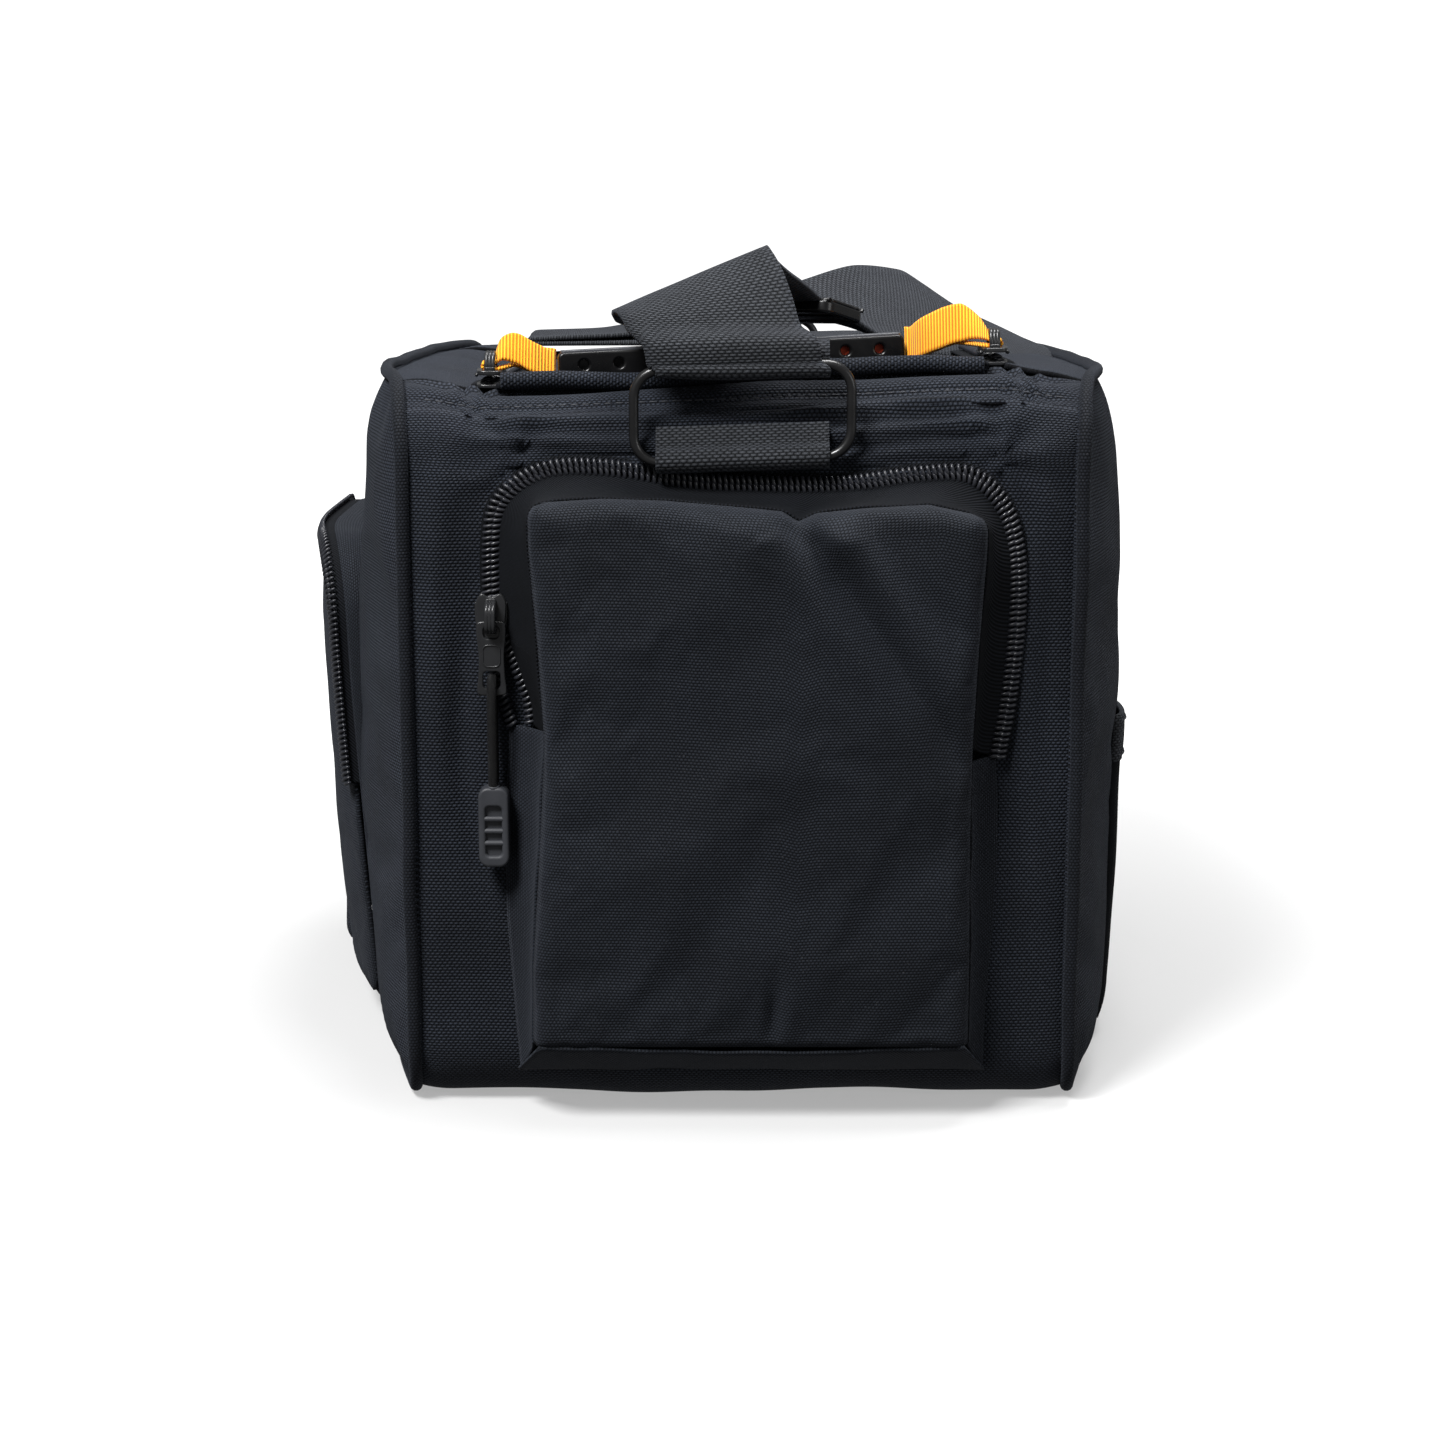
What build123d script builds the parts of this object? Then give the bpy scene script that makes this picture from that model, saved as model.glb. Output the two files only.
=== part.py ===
from build123d import *
import math
import os

# Soft ball bag with a zipped lid, two zipped outside pockets, a mesh pocket and a webbing
# shoulder strap. Millimetres, +Z up, +Y from the near end to the far end. The origin is on
# the floor, at the centre of the base.

os.makedirs("parts", exist_ok=True)

# ---- driving dimensions ----------------------------------------------------------------

# body of the bag
bag_depth = 300
bag_height = 228
end_width = 200
side_crown = 30
edge_crown = 18
outline_radius = 22
wall = 3
piping = 4
seam_drop = 14           # from the deck down to the seam of each end panel
seam_height = bag_height - seam_drop

# lid and its two zips
mouth_half_width = 78
rim_depth = 22
deck_depth = 55
mouth_near_y = -bag_depth / 2 + rim_depth
mouth_far_y = bag_depth / 2 - deck_depth
chain_half = 2.8
chain_gap = 0.4
chain_thick = 2
hem_roll = 4

# stiffener and ball cup inside
board_thick = 2.5
cup_diameter = 150
cup_bore = 104
cup_height = 22

# rings, tabs and shoulder strap
webbing_width = 52
webbing_thick = 1.6
ring_width = 68
ring_height = 30.5
ring_wire = 3
ring_radius = 6
ring_drop = 8.6
ring_pivot_z = seam_height - ring_drop
ring_stand_off = 5.5
pin_clearance = 0.3

# sliders, pullers, pull bar
slider_width = 9
slider_length = 14
slider_plate = 1.6
bail_wire = 1.4
bail_reach = 5
bail_inset = 2
run_clearance = 0.35
puller_width = 9
puller_length = 22.5
puller_thick = 1.8
cord_diameter = 3
cord_gap = 0.2
cord_reach = 33
tip_length = 25
tip_width = 9.4
bar_length = 110
bar_height = 8.5
bar_thick = 5
bar_centre = (-3, mouth_near_y + 22)
bar_turn_deg = 8
bar_window = 3
ribbon_width = 10
ribbon_thick = 1
lid_slider_y = mouth_near_y + 8

# mesh pocket on the right side
mesh_half_width = 78
mesh_low = 6
mesh_top = 112
mesh_stand_off = 9
mesh_thick = 1.2
binding_height = 16

# fabric gap kept between neighbours on different bodies
ease = 0.4


def save(shape, name):
    export_step(shape, "parts/" + name + ".step")
    print(f"{name:26s} {shape.volume:12.1f} mm3")


def between(low, high):
    """Box from one corner to the other."""
    size = [b - a for a, b in zip(low, high)]
    return Pos(*low) * Box(*size, align=(Align.MIN, Align.MIN, Align.MIN))


# ---- body shape ------------------------------------------------------------------------

# the rounded rectangle of the bag seen from the side, grown outwards all round
def outline_prism(grow=0.0):
    face = RectangleRounded(
        bag_depth + 2 * grow, bag_height + 2 * grow, outline_radius + grow
    )
    return extrude(Plane.YZ * Pos(0, bag_height / 2) * face, amount=200, both=True)


# seen from above the sides bow out between the ends
def plan_prism(grow=0.0):
    half_end = end_width / 2 + grow
    half_mid = end_width / 2 + side_crown + grow
    reach = bag_depth / 2 + max(grow, 0) + 3
    with BuildSketch() as plan:
        with BuildLine():
            right = ThreePointArc((half_end, -reach), (half_mid, 0), (half_end, reach))
            left = ThreePointArc((-half_end, reach), (-half_mid, 0), (-half_end, -reach))
            Line(right @ 1, left @ 0)
            Line(left @ 1, right @ 0)
        make_face()
    return extrude(plan.sketch, amount=bag_height + 60).moved(Pos(0, 0, -30))


# seen from the end the sides bow out between the floor and the deck
def elevation_prism(grow=0.0):
    half_edge = end_width / 2 + edge_crown + grow
    half_mid = end_width / 2 + side_crown + grow
    low = -max(grow, 0) - 3
    top = bag_height + max(grow, 0) + 3
    middle = bag_height / 2
    with BuildSketch(Plane.XZ) as elevation:
        with BuildLine():
            right = ThreePointArc((half_edge, low), (half_mid, middle), (half_edge, top))
            left = ThreePointArc((-half_edge, top), (-half_mid, middle), (-half_edge, low))
            Line(right @ 1, left @ 0)
            Line(left @ 1, right @ 0)
        make_face()
    return extrude(elevation.sketch, amount=bag_depth, both=True)


# the whole soft body, its sides grown by one amount and its outline by another
def body_block(grow_sides=0.0, grow_outline=0.0):
    return plan_prism(grow_sides) & elevation_prism(grow_sides) & outline_prism(grow_outline)


# further than any piece reaches
far = 400
piping_proud = 1.5
piping_inside = piping - piping_proud

# the fabric band that runs round the outline between the two piped seams
band = body_block(-piping, 0) - outline_prism(-wall)
near_corner_y = -bag_depth / 2 + outline_radius
below_seam = between((-far, -far, -far), (far, near_corner_y, seam_height))


def build_body():
    bottom_zone = between((-far, near_corner_y, -far), (far, -near_corner_y, wall * 2))
    save(band & below_seam, "near_end_panel")
    save(band & below_seam.mirror(Plane.XZ), "far_end_panel")
    save(band & bottom_zone, "bottom_panel")
    near_top = between((-far, -far, seam_height), (far, mouth_near_y, far))
    save(band & near_top, "near_rim")
    far_top = between((-far, mouth_far_y, seam_height), (far, far, far))
    save(band & far_top, "far_deck")
    rim_inner = mouth_half_width + chain_gap / 2 + chain_half
    rim = between((rim_inner, mouth_near_y, seam_height), (far, mouth_far_y, far))
    save(band & rim, "right_rim")
    save(band & rim.mirror(Plane.YZ), "left_rim")
    sides = body_block(0, -piping_inside) - body_block(-wall, 0)
    right = between((end_width / 2 - wall, -far, -far), (far, far, far))
    save(sides & right, "right_side_panel")
    save(sides & right.mirror(Plane.YZ), "left_side_panel")
    above_floor = between((-far, -far, 0), (far, far, far))
    cords = body_block(0, piping_proud) - body_block(-piping, far)
    cords = (cords - outline_prism(-piping_inside)) & above_floor
    right_half = between((0, -far, -far), (far, far, far))
    save(cords & right_half, "right_piping")
    save(cords & right_half.mirror(Plane.YZ), "left_piping")


def build_inside():
    board_width = end_width - 2 * wall - 2
    board_length = bag_depth - 2 * outline_radius
    board_face = RectangleRounded(board_width, board_length, 8)
    save(Pos(0, 0, wall) * extrude(board_face, amount=board_thick), "base_board")
    ring_face = Circle(cup_diameter / 2) - Circle(cup_bore / 2)
    cup = Pos(0, 0, wall + board_thick) * extrude(ring_face, amount=cup_height)
    save(cup, "ball_cup")


# ---- lid, its zips, sliders and pull bar -------------------------------------------------

inner_edge = mouth_half_width - chain_gap / 2 - chain_half
hinge_gap = 0.6
lid_near_y = mouth_near_y + hem_roll + ease
lid_far_y = mouth_far_y - hinge_gap


def build_lid():
    top = bag_height
    lid = between((-inner_edge, lid_near_y, top - wall), (inner_edge, lid_far_y, top))
    save(lid, "lid_panel")
    hem_x = inner_edge - 2
    hem_y = lid_near_y - hem_roll / 2
    hem_z = top - wall / 2
    hem = Pos(0, hem_y, hem_z) * Rot(0, 90, 0) * Cylinder(hem_roll / 2, 2 * hem_x)
    save(hem, "lid_hem")
    low = top - chain_thick
    outer_x = mouth_half_width + chain_gap / 2
    outer = between((outer_x, mouth_near_y, low), (outer_x + chain_half, lid_far_y, top))
    save(outer, "lid_zip_right_outer")
    save(outer.mirror(Plane.YZ), "lid_zip_left_outer")
    inner_near = mouth_near_y + hem_roll
    inner = between((inner_edge, inner_near, low), (inner_edge + chain_half, lid_far_y, top))
    save(inner, "lid_zip_right_inner")
    save(inner.mirror(Plane.YZ), "lid_zip_left_inner")


bail_half = slider_length / 2 - bail_inset


# a slider on the plane of its zip: x across the chain, y along it, z outwards
def slider_solid():
    plate = RectangleRounded(slider_width, slider_length, 2.5)
    solid = Pos(0, 0, run_clearance) * extrude(plate, amount=slider_plate)
    bail_low = run_clearance + slider_plate
    bail_high = bail_low + bail_reach + bail_wire
    arch = between((-bail_wire / 2, -bail_half, bail_low), (bail_wire / 2, bail_half, bail_high))
    opening = between(
        (-bail_wire, -bail_half + bail_wire, bail_low),
        (bail_wire, bail_half - bail_wire, bail_high - bail_wire),
    )
    return solid + (arch - opening)


bail_middle = run_clearance + slider_plate + bail_reach / 2


def build_lid_pull():
    deck = Plane(origin=(0, 0, bag_height), x_dir=(1, 0, 0), z_dir=(0, 0, 1))
    for side, name in ((-1, "lid_slider_left"), (1, "lid_slider_right")):
        save(deck * Pos(side * mouth_half_width, lid_slider_y, 0) * slider_solid(), name)
    bar = Box(bar_length, bar_thick, bar_height, align=(Align.CENTER, Align.CENTER, Align.MIN))
    bar = fillet(bar.edges().filter_by(Axis.X), 1.2)
    windows = [
        Pos(side * (bar_length / 2 - inset), 0, bar_height / 2) * Rot(90, 0, 0)
        * Cylinder(bar_window / 2, bar_thick * 2)
        for side in (-1, 1)
        for inset in (8, 19)
    ]
    for window in windows:
        bar -= window
    place = Pos(bar_centre[0], bar_centre[1], bag_height + ease) * Rot(0, 0, bar_turn_deg)
    save(place * bar, "pull_bar")
    for side, name in ((-1, "pull_ribbon_left"), (1, "pull_ribbon_right")):
        save(pull_ribbon(side), name)


# grosgrain from the end of the bar, through the bail of the slider
def pull_ribbon(side):
    turn = math.radians(bar_turn_deg)
    half = bar_length / 2 + 0.1
    start = Vector(
        bar_centre[0] + side * half * math.cos(turn),
        bar_centre[1] + side * half * math.sin(turn),
        bag_height + bail_middle + 1,
    )
    bail = Vector(side * mouth_half_width, lid_slider_y, bag_height + bail_middle)
    inside = Vector(bail.X - side * 7, lid_slider_y, bail.Z)
    past = Vector(bail.X + side * 4, lid_slider_y, bail.Z)
    narrow = 2 * (bail_half - bail_wire - ease)
    across = Vector(-math.sin(turn) * side, math.cos(turn) * side, 0)
    straight = Vector(0, side, 0)
    sections = [
        ribbon_section(start, across, ribbon_width, ribbon_thick),
        ribbon_section(inside, straight, narrow, ribbon_thick),
        ribbon_section(past, straight, narrow, ribbon_thick),
    ]
    return Solid.make_loft(sections, ruled=True)


def ribbon_section(centre, width_dir, width, thick, normal=Vector(0, 0, 1)):
    u = width_dir.normalized() * (width / 2)
    n = normal.normalized() * (thick / 2)
    corners = [centre + u + n, centre - u + n, centre - u - n, centre + u - n]
    return Wire.make_polygon(corners, close=True)


# ---- zipped pockets ----------------------------------------------------------------------

# Both pockets are drawn on a plane of their own: x across, y up, z out of the bag.
end_pocket = dict(
    plane=Plane(origin=(3, -bag_depth / 2, 0), x_dir=(1, 0, 0), z_dir=(0, -1, 0)),
    zip_half=79,
    zip_top=198,
    low=14,
    hinge=118,
    corner=24,
    depth=22,
    lean=7,
    tape=3,
    slider_height=158,
)
side_pocket = dict(
    plane=Plane(
        origin=(-end_width / 2 - side_crown, 0, 0), x_dir=(0, -1, 0), z_dir=(-1, 0, 0)
    ),
    zip_half=76,
    zip_top=172,
    low=12,
    hinge=88,
    corner=26,
    depth=15,
    lean=2,
    tape=0,
    slider_height=125,
)
pocket_wall = 2
pocket_root = 12


# an arch seen face on: straight legs down to the floor line, round at the top corners
def arch_face(spec, grow, floor):
    half = spec["zip_half"] + grow
    top = spec["zip_top"] + grow
    radius = spec["corner"] + grow
    with BuildSketch() as face:
        with BuildLine():
            Line((-half, floor), (-half, top - radius))
            RadiusArc((-half, top - radius), (-half + radius, top), radius)
            Line((-half + radius, top), (half - radius, top))
            RadiusArc((half - radius, top), (half, top - radius), radius)
            Line((half, top - radius), (half, floor))
            Line((half, floor), (-half, floor))
        make_face()
    return face.sketch


# the pocket's outside, narrowing outwards by its lean
def pocket_block(spec, inset=0.0):
    depth = spec["depth"] - inset
    slope = spec["lean"] / spec["depth"]
    root = -pocket_root
    grow = -chain_half - spec["tape"] - inset
    lower = arch_face(spec, grow - root * slope, spec["low"] + inset)
    upper = arch_face(spec, grow - depth * slope, spec["low"] + inset)
    wires = [(Pos(0, 0, z) * face).face().outer_wire() for z, face in ((root, lower), (depth, upper))]
    return spec["plane"] * Solid.make_loft(wires, ruled=True)


# a strip of the zip, between two offsets from its centre line, above the pocket's hinge
def zip_strip(spec, inner, outer, floor, low_z, high_z):
    strip = arch_face(spec, outer, floor) - arch_face(spec, inner, floor)
    return spec["plane"] * Pos(0, 0, low_z) * extrude(strip, amount=high_z - low_z)


def pocket_zone(spec, low, high):
    return spec["plane"] * between((-far, low, -far), (far, high, far))


# end pocket: the zip lies against the panel, and the whole front tips out
def build_end_pocket():
    spec = end_pocket
    hinge = spec["hinge"]
    shell = pocket_block(spec) - pocket_block(spec, pocket_wall)
    pouch = (shell & pocket_zone(spec, -far, hinge - ease / 2)) - body_block(0, 0)
    save(pouch, "end_pocket_pouch")
    clearance = chain_thick + 2 * ease
    front = shell & pocket_zone(spec, hinge + ease / 2, far)
    save(front - body_block(clearance, clearance), "end_pocket_front")
    centre = chain_gap / 2
    outer = zip_strip(spec, centre, centre + chain_half, hinge + ease / 2, 0, chain_thick)
    save(outer, "end_pocket_zip_outer")
    inner_edge_offset = -centre - chain_half - spec["tape"]
    inner = zip_strip(
        spec, inner_edge_offset, -centre, hinge + ease / 2, ease, ease + chain_thick
    )
    save(inner, "end_pocket_zip_inner")


# side pocket: the gusset stays on the bag and carries the outer half of the zip
def build_side_pocket():
    spec = side_pocket
    hinge = spec["hinge"]
    depth = spec["depth"]
    shell = pocket_block(spec) - pocket_block(spec, pocket_wall) - body_block(0, 0)
    slope = spec["lean"]
    edge = -chain_half - slope
    front_zone = spec["plane"] * Pos(0, 0, depth - pocket_wall - 1) * extrude(
        arch_face(spec, edge - pocket_wall, hinge - ease / 2), amount=far
    )
    save(shell - front_zone, "side_pocket_gusset")
    centre = edge - pocket_wall - chain_half - chain_gap / 2
    half = chain_gap / 2
    low_z = depth - chain_thick
    outer = zip_strip(spec, centre + half, centre + half + chain_half, hinge, low_z, depth)
    save(outer, "side_pocket_zip_outer")
    inner = zip_strip(spec, centre - half - chain_half, centre - half, hinge + ease, low_z, depth)
    save(inner, "side_pocket_zip_inner")
    panel = arch_face(spec, centre - half - chain_half, hinge + ease)
    front = spec["plane"] * Pos(0, 0, depth - pocket_wall) * extrude(panel, amount=pocket_wall)
    save(front, "side_pocket_front")
    return centre


# ---- pocket sliders, pullers and the cord pull --------------------------------------------

puller_bar = 1.4
# room for the bar's corners to turn inside the bail
bar_turn = math.hypot(puller_bar, puller_thick) / 2
pivot_drop = -bail_half + bail_wire + ease + bar_turn


# hangs down from its pivot, in the slider's own frame
def puller_solid():
    top = pivot_drop + puller_bar / 2
    face = Pos(0, top - puller_length / 2) * RectangleRounded(puller_width, puller_length, 2.2)
    # long enough for the bail's outer corner to pass as the puller swings
    hole_low = math.hypot(bail_half + pivot_drop, bail_reach / 2 + bail_wire) + ease
    hole_height = hole_low - puller_bar / 2
    hole_y = pivot_drop - puller_bar / 2 - hole_height / 2
    upper_hole = Pos(0, hole_y) * RectangleRounded(4.6, hole_height, 1.6)
    lower_hole = Pos(0, top - puller_length + 4.6) * RectangleRounded(5.2, 5.2, 0.8)
    flat = face - upper_hole - lower_hole
    return Pos(0, 0, bail_middle - puller_thick / 2) * extrude(flat, amount=puller_thick)


def place_slider(spec, x, lift):
    plane = spec["plane"]
    return plane * Pos(x, spec["slider_height"], lift)


def build_pull_cord(spec, x, lift):
    place = place_slider(spec, x, lift)
    hole_y = pivot_drop + puller_bar / 2 - puller_length + 4.6
    tip_top = hole_y - cord_reach
    front = bail_middle + puller_thick / 2 + cord_diameter / 2 + cord_gap
    back = bail_middle - puller_thick / 2 - cord_diameter / 2 - cord_gap
    arch = hole_y + 0.4
    points = [
        (0, tip_top, front - 0.9),
        (0, (tip_top + arch) / 2, front + 0.3),
        (0, arch, front),
        (0, arch, back),
        (0, (tip_top + arch) / 2, back - 0.3),
        (0, tip_top, back + 0.9),
    ]
    radii = []
    for before, here, after in zip(points, points[1:], points[2:]):
        run_in = Vector(*before) - Vector(*here)
        run_out = Vector(*after) - Vector(*here)
        turn = math.radians(180 - run_in.get_angle(run_out))
        radii.append(0.45 * min(run_in.length, run_out.length) / math.tan(turn / 2))
    print("cord radii", [round(r, 1) for r in radii])
    path = FilletPolyline(*points, radius=radii)
    start = Plane(origin=path @ 0, z_dir=path % 0)
    tube = sweep(start * Circle(cord_diameter / 2), path=path)
    expected = math.pi * (cord_diameter / 2) ** 2 * path.length
    print(f"cord length {path.length:.1f}, volume over section x length {tube.volume / expected:.4f}")
    save(place * tube, "pull_cord")
    middle_z = (front + back) / 2
    tip_face = RectangleRounded(tip_width, tip_length, 3)
    tip = Pos(0, tip_top - tip_length / 2, middle_z - 3.6) * extrude(tip_face, amount=7.2)
    save(place * (tip - tube), "pull_tip")


def build_pullers(side_centre):
    end_x = -end_pocket["zip_half"]
    end_lift = ease + chain_thick
    save(place_slider(end_pocket, end_x, end_lift) * slider_solid(), "end_pocket_slider")
    save(place_slider(end_pocket, end_x, end_lift) * puller_solid(), "end_pocket_puller")
    build_pull_cord(end_pocket, end_x, end_lift)
    side_x = -side_pocket["zip_half"] - side_centre
    lift = side_pocket["depth"]
    save(place_slider(side_pocket, side_x, lift) * slider_solid(), "side_pocket_slider")
    save(place_slider(side_pocket, side_x, lift) * puller_solid(), "side_pocket_puller")


# ---- mesh pocket ---------------------------------------------------------------------------

def build_mesh_pocket():
    def skin(thick):
        return body_block(mesh_stand_off, 0) - body_block(mesh_stand_off - thick, 0)

    face = RectangleRounded(2 * mesh_half_width, 2 * (mesh_top - mesh_low), 10)
    prism = extrude(Plane.YZ * Pos(0, mesh_low + mesh_top - mesh_low) * face, amount=far)
    low_half = between((0, -far, -far), (far, far, mesh_top - binding_height))
    inner = extrude(
        Plane.YZ * Pos(0, mesh_top) * RectangleRounded(
            2 * (mesh_half_width - mesh_thick), 2 * (mesh_top - mesh_low - mesh_thick), 9
        ),
        amount=far,
    )
    solid = (prism & body_block(mesh_stand_off, 0)) - (inner & body_block(mesh_stand_off - mesh_thick, 0))
    solid = (solid & low_half) - body_block(0, 0)
    save(solid, "mesh_pocket")
    tape = between(
        (0, -mesh_half_width, mesh_top - binding_height), (far, mesh_half_width, mesh_top)
    )
    save(skin(webbing_thick) & tape, "mesh_pocket_binding")


# ---- rings, tabs and strap --------------------------------------------------------------------

def ring_solid(side):
    y = side * (bag_depth / 2 + ring_stand_off)
    middle_z = ring_pivot_z - ring_wire / 2 + ring_height / 2
    path_face = RectangleRounded(ring_width - ring_wire, ring_height - ring_wire, ring_radius)
    path = (Plane.XZ * path_face).face().outer_wire().moved(Pos(0, y, middle_z))
    start = path @ 0
    along = path % 0
    return sweep(Plane(origin=start, z_dir=along) * Circle(ring_wire / 2), path=path)


# webbing folded round a bar of the ring, and down or up to where it is sewn
def webbing_sleeve(side, z):
    y = side * (bag_depth / 2 + ring_stand_off)
    bore = ring_wire / 2 + pin_clearance
    place = Pos(0, y, z) * Rot(0, 90, 0)
    return place * (Cylinder(bore + webbing_thick, webbing_width) - Cylinder(bore, webbing_width * 2))


def build_rings():
    bore = ring_wire / 2 + pin_clearance
    for side, name in ((-1, "near"), (1, "far")):
        save(ring_solid(side), name + "_ring")
        strip = between(
            (-webbing_width / 2, bag_depth / 2, ring_pivot_z - 1),
            (webbing_width / 2, bag_depth / 2 + webbing_thick, seam_height),
        )
        link = between(
            (-webbing_width / 2, bag_depth / 2, ring_pivot_z + bore),
            (webbing_width / 2, bag_depth / 2 + ring_stand_off, ring_pivot_z + bore + webbing_thick),
        )
        tab = strip + link
        if side < 0:
            tab = tab.mirror(Plane.XZ)
        save(tab - ring_clear(side, ring_pivot_z) + webbing_sleeve(side, ring_pivot_z), name + "_ring_tab")


def ring_clear(side, z):
    y = side * (bag_depth / 2 + ring_stand_off)
    bore = ring_wire / 2 + pin_clearance
    return Pos(0, y, z) * Rot(0, 90, 0) * Cylinder(bore, webbing_width * 2)


# centre of the webbing and the direction of its width, from the near ring to the far ring
ring_top_z = ring_pivot_z - ring_wire + ring_height
ring_y = bag_depth / 2 + ring_stand_off
strap_split = 7
shoulder_x = end_width / 2 + edge_crown
deck_y = bag_depth / 2 - 27
strap_route = [
    ((0, -ring_y, ring_top_z + 2.2), (1, 0, 0)),
    ((0, -ring_y + 3, ring_top_z + 10), (1, 0, 0)),
    ((2, -ring_y + 20, ring_top_z + 21), (1, -0.05, 0.08)),
    ((12, -ring_y + 49, ring_top_z + 28), (1, -0.25, 0.1)),
    ((32, -ring_y + 73, ring_top_z + 29), (0.85, -0.5, 0)),
    ((shoulder_x - 58, -60, ring_top_z + 24), (0.8, -0.6, -0.2)),
    ((shoulder_x - 28, -36, ring_top_z + 14), (0.8, -0.45, -0.35)),
    ((shoulder_x - 6, -6, ring_top_z + 6), (0.92, -0.2, -0.35)),
    ((shoulder_x, 30, ring_top_z + 2.5), (0.95, 0, -0.3)),
    ((shoulder_x - 6, deck_y - 57, ring_top_z + 3), (0.95, 0.3, -0.25)),
    ((shoulder_x - 30, deck_y - 25, ring_top_z + 3), (0.6, 0.75, -0.12)),
    ((48, deck_y - 7, ring_top_z + 1.5), (0.25, 1, 0)),
    ((0, deck_y - 1, ring_top_z + 1), (0, 1, 0)),
    ((-44, deck_y, ring_top_z + 1), (0, 1, 0)),
    ((-76, deck_y, ring_top_z + 1.5), (0, 1, 0)),
    ((-82, deck_y, ring_top_z + 3), (0, 1, 0)),
    ((-84, deck_y, ring_top_z + 6), (0, 1, 0)),
    ((-82, deck_y, ring_top_z + 9), (0, 1, 0)),
    ((-76, deck_y + 0.5, ring_top_z + 11), (0, 1, 0)),
    ((-48, deck_y + 3, ring_top_z + 12), (-0.2, 1, 0)),
    ((-24, deck_y + 10, ring_top_z + 13), (-0.5, 0.85, 0)),
    ((-7, deck_y + 21, ring_top_z + 12), (-0.85, 0.5, 0)),
    ((-1, deck_y + 30, ring_top_z + 8), (-1, 0.1, 0)),
    ((0, ring_y, ring_top_z + 2.2), (-1, 0, 0)),
]


# square sections of the webbing, one at each point of its route
def webbing_sections():
    centres = [Vector(*centre) for centre, _ in strap_route]
    sections = []
    for index, (_, width_dir) in enumerate(strap_route):
        before = centres[max(index - 1, 0)]
        after = centres[min(index + 1, len(centres) - 1)]
        along = (after - before).normalized()
        across = Vector(*width_dir)
        across = (across - along * across.dot(along)).normalized()
        normal = along.cross(across)
        wire = ribbon_section(centres[index], across, webbing_width, webbing_thick, normal)
        sections.append(wire)
    length = sum((b - a).length for a, b in zip(centres, centres[1:]))
    print(f"webbing {length:.0f} long between its two loops")
    return sections


def build_strap():
    sections = webbing_sections()
    front = Solid.make_loft(sections[: strap_split + 1], ruled=True)
    rear = Solid.make_loft(sections[strap_split:], ruled=True)
    front = front - ring_clear(-1, ring_top_z) + webbing_sleeve(-1, ring_top_z)
    rear = rear - ring_clear(1, ring_top_z) + webbing_sleeve(1, ring_top_z)
    save(front, "strap_front")
    save(rear, "strap_rear")


build_body()
build_inside()
build_lid()
build_lid_pull()
build_end_pocket()
side_chain = build_side_pocket()
build_pullers(side_chain)
build_mesh_pocket()
build_rings()
build_strap()
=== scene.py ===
import math

import bmesh
import bpy
import numpy as np
from mathutils import Matrix, Vector, noise


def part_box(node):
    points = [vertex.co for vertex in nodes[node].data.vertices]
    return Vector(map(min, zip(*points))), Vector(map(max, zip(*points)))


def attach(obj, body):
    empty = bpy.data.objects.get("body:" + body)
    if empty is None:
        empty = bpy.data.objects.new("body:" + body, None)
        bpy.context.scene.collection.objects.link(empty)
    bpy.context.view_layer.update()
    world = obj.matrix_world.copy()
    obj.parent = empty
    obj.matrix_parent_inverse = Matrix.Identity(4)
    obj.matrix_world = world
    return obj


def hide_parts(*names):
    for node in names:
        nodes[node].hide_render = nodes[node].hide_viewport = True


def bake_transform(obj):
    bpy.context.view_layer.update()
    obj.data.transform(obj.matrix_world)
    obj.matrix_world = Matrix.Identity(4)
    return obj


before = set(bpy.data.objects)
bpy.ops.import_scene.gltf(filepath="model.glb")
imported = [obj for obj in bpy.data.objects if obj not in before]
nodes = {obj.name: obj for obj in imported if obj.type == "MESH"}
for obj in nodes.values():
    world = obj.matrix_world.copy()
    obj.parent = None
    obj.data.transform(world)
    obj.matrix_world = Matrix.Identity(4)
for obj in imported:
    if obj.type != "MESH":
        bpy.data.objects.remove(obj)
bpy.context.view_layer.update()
scene = bpy.context.scene
print("frame loaded", len(nodes), "nodes")

# camera, light and floor

cameraSettings = {"place": (-0.006, -0.948, 0.285), "pitch": 11.4, "lens": 66.0}


def makeCamera():
    data = bpy.data.cameras.new("camera")
    data.lens = cameraSettings["lens"]
    data.sensor_width = 36
    data.clip_end = 50
    cam = bpy.data.objects.new("camera", data)
    cam.location = cameraSettings["place"]
    cam.rotation_euler = (math.radians(90 - cameraSettings["pitch"]), 0, 0)
    scene.collection.objects.link(cam)
    scene.camera = cam


lightSettings = {
    "world": 0.22,
    "key": ((-0.75, -1.15, 1.75), 78, 0.6),
    "fill": ((1.7, -1.2, 0.7), 7, 0.8),
    "top": ((0.3, 0.1, 1.9), 42, 0.8),
}


def makeLights():
    world = bpy.data.worlds.new("studio")
    scene.world = world
    world.use_nodes = True
    background = world.node_tree.nodes["Background"]
    background.inputs["Color"].default_value = (1, 1, 1, 1)
    background.inputs["Strength"].default_value = lightSettings["world"]
    for name in ("key", "fill", "top"):
        place, power, size = lightSettings[name]
        data = bpy.data.lights.new(name, "AREA")
        data.energy = power
        data.size = size
        lamp = bpy.data.objects.new(name, data)
        lamp.location = place
        aim = Vector((0, 0, 0.1)) - Vector(place)
        lamp.rotation_euler = aim.to_track_quat("-Z", "Y").to_euler()
        scene.collection.objects.link(lamp)


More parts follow.
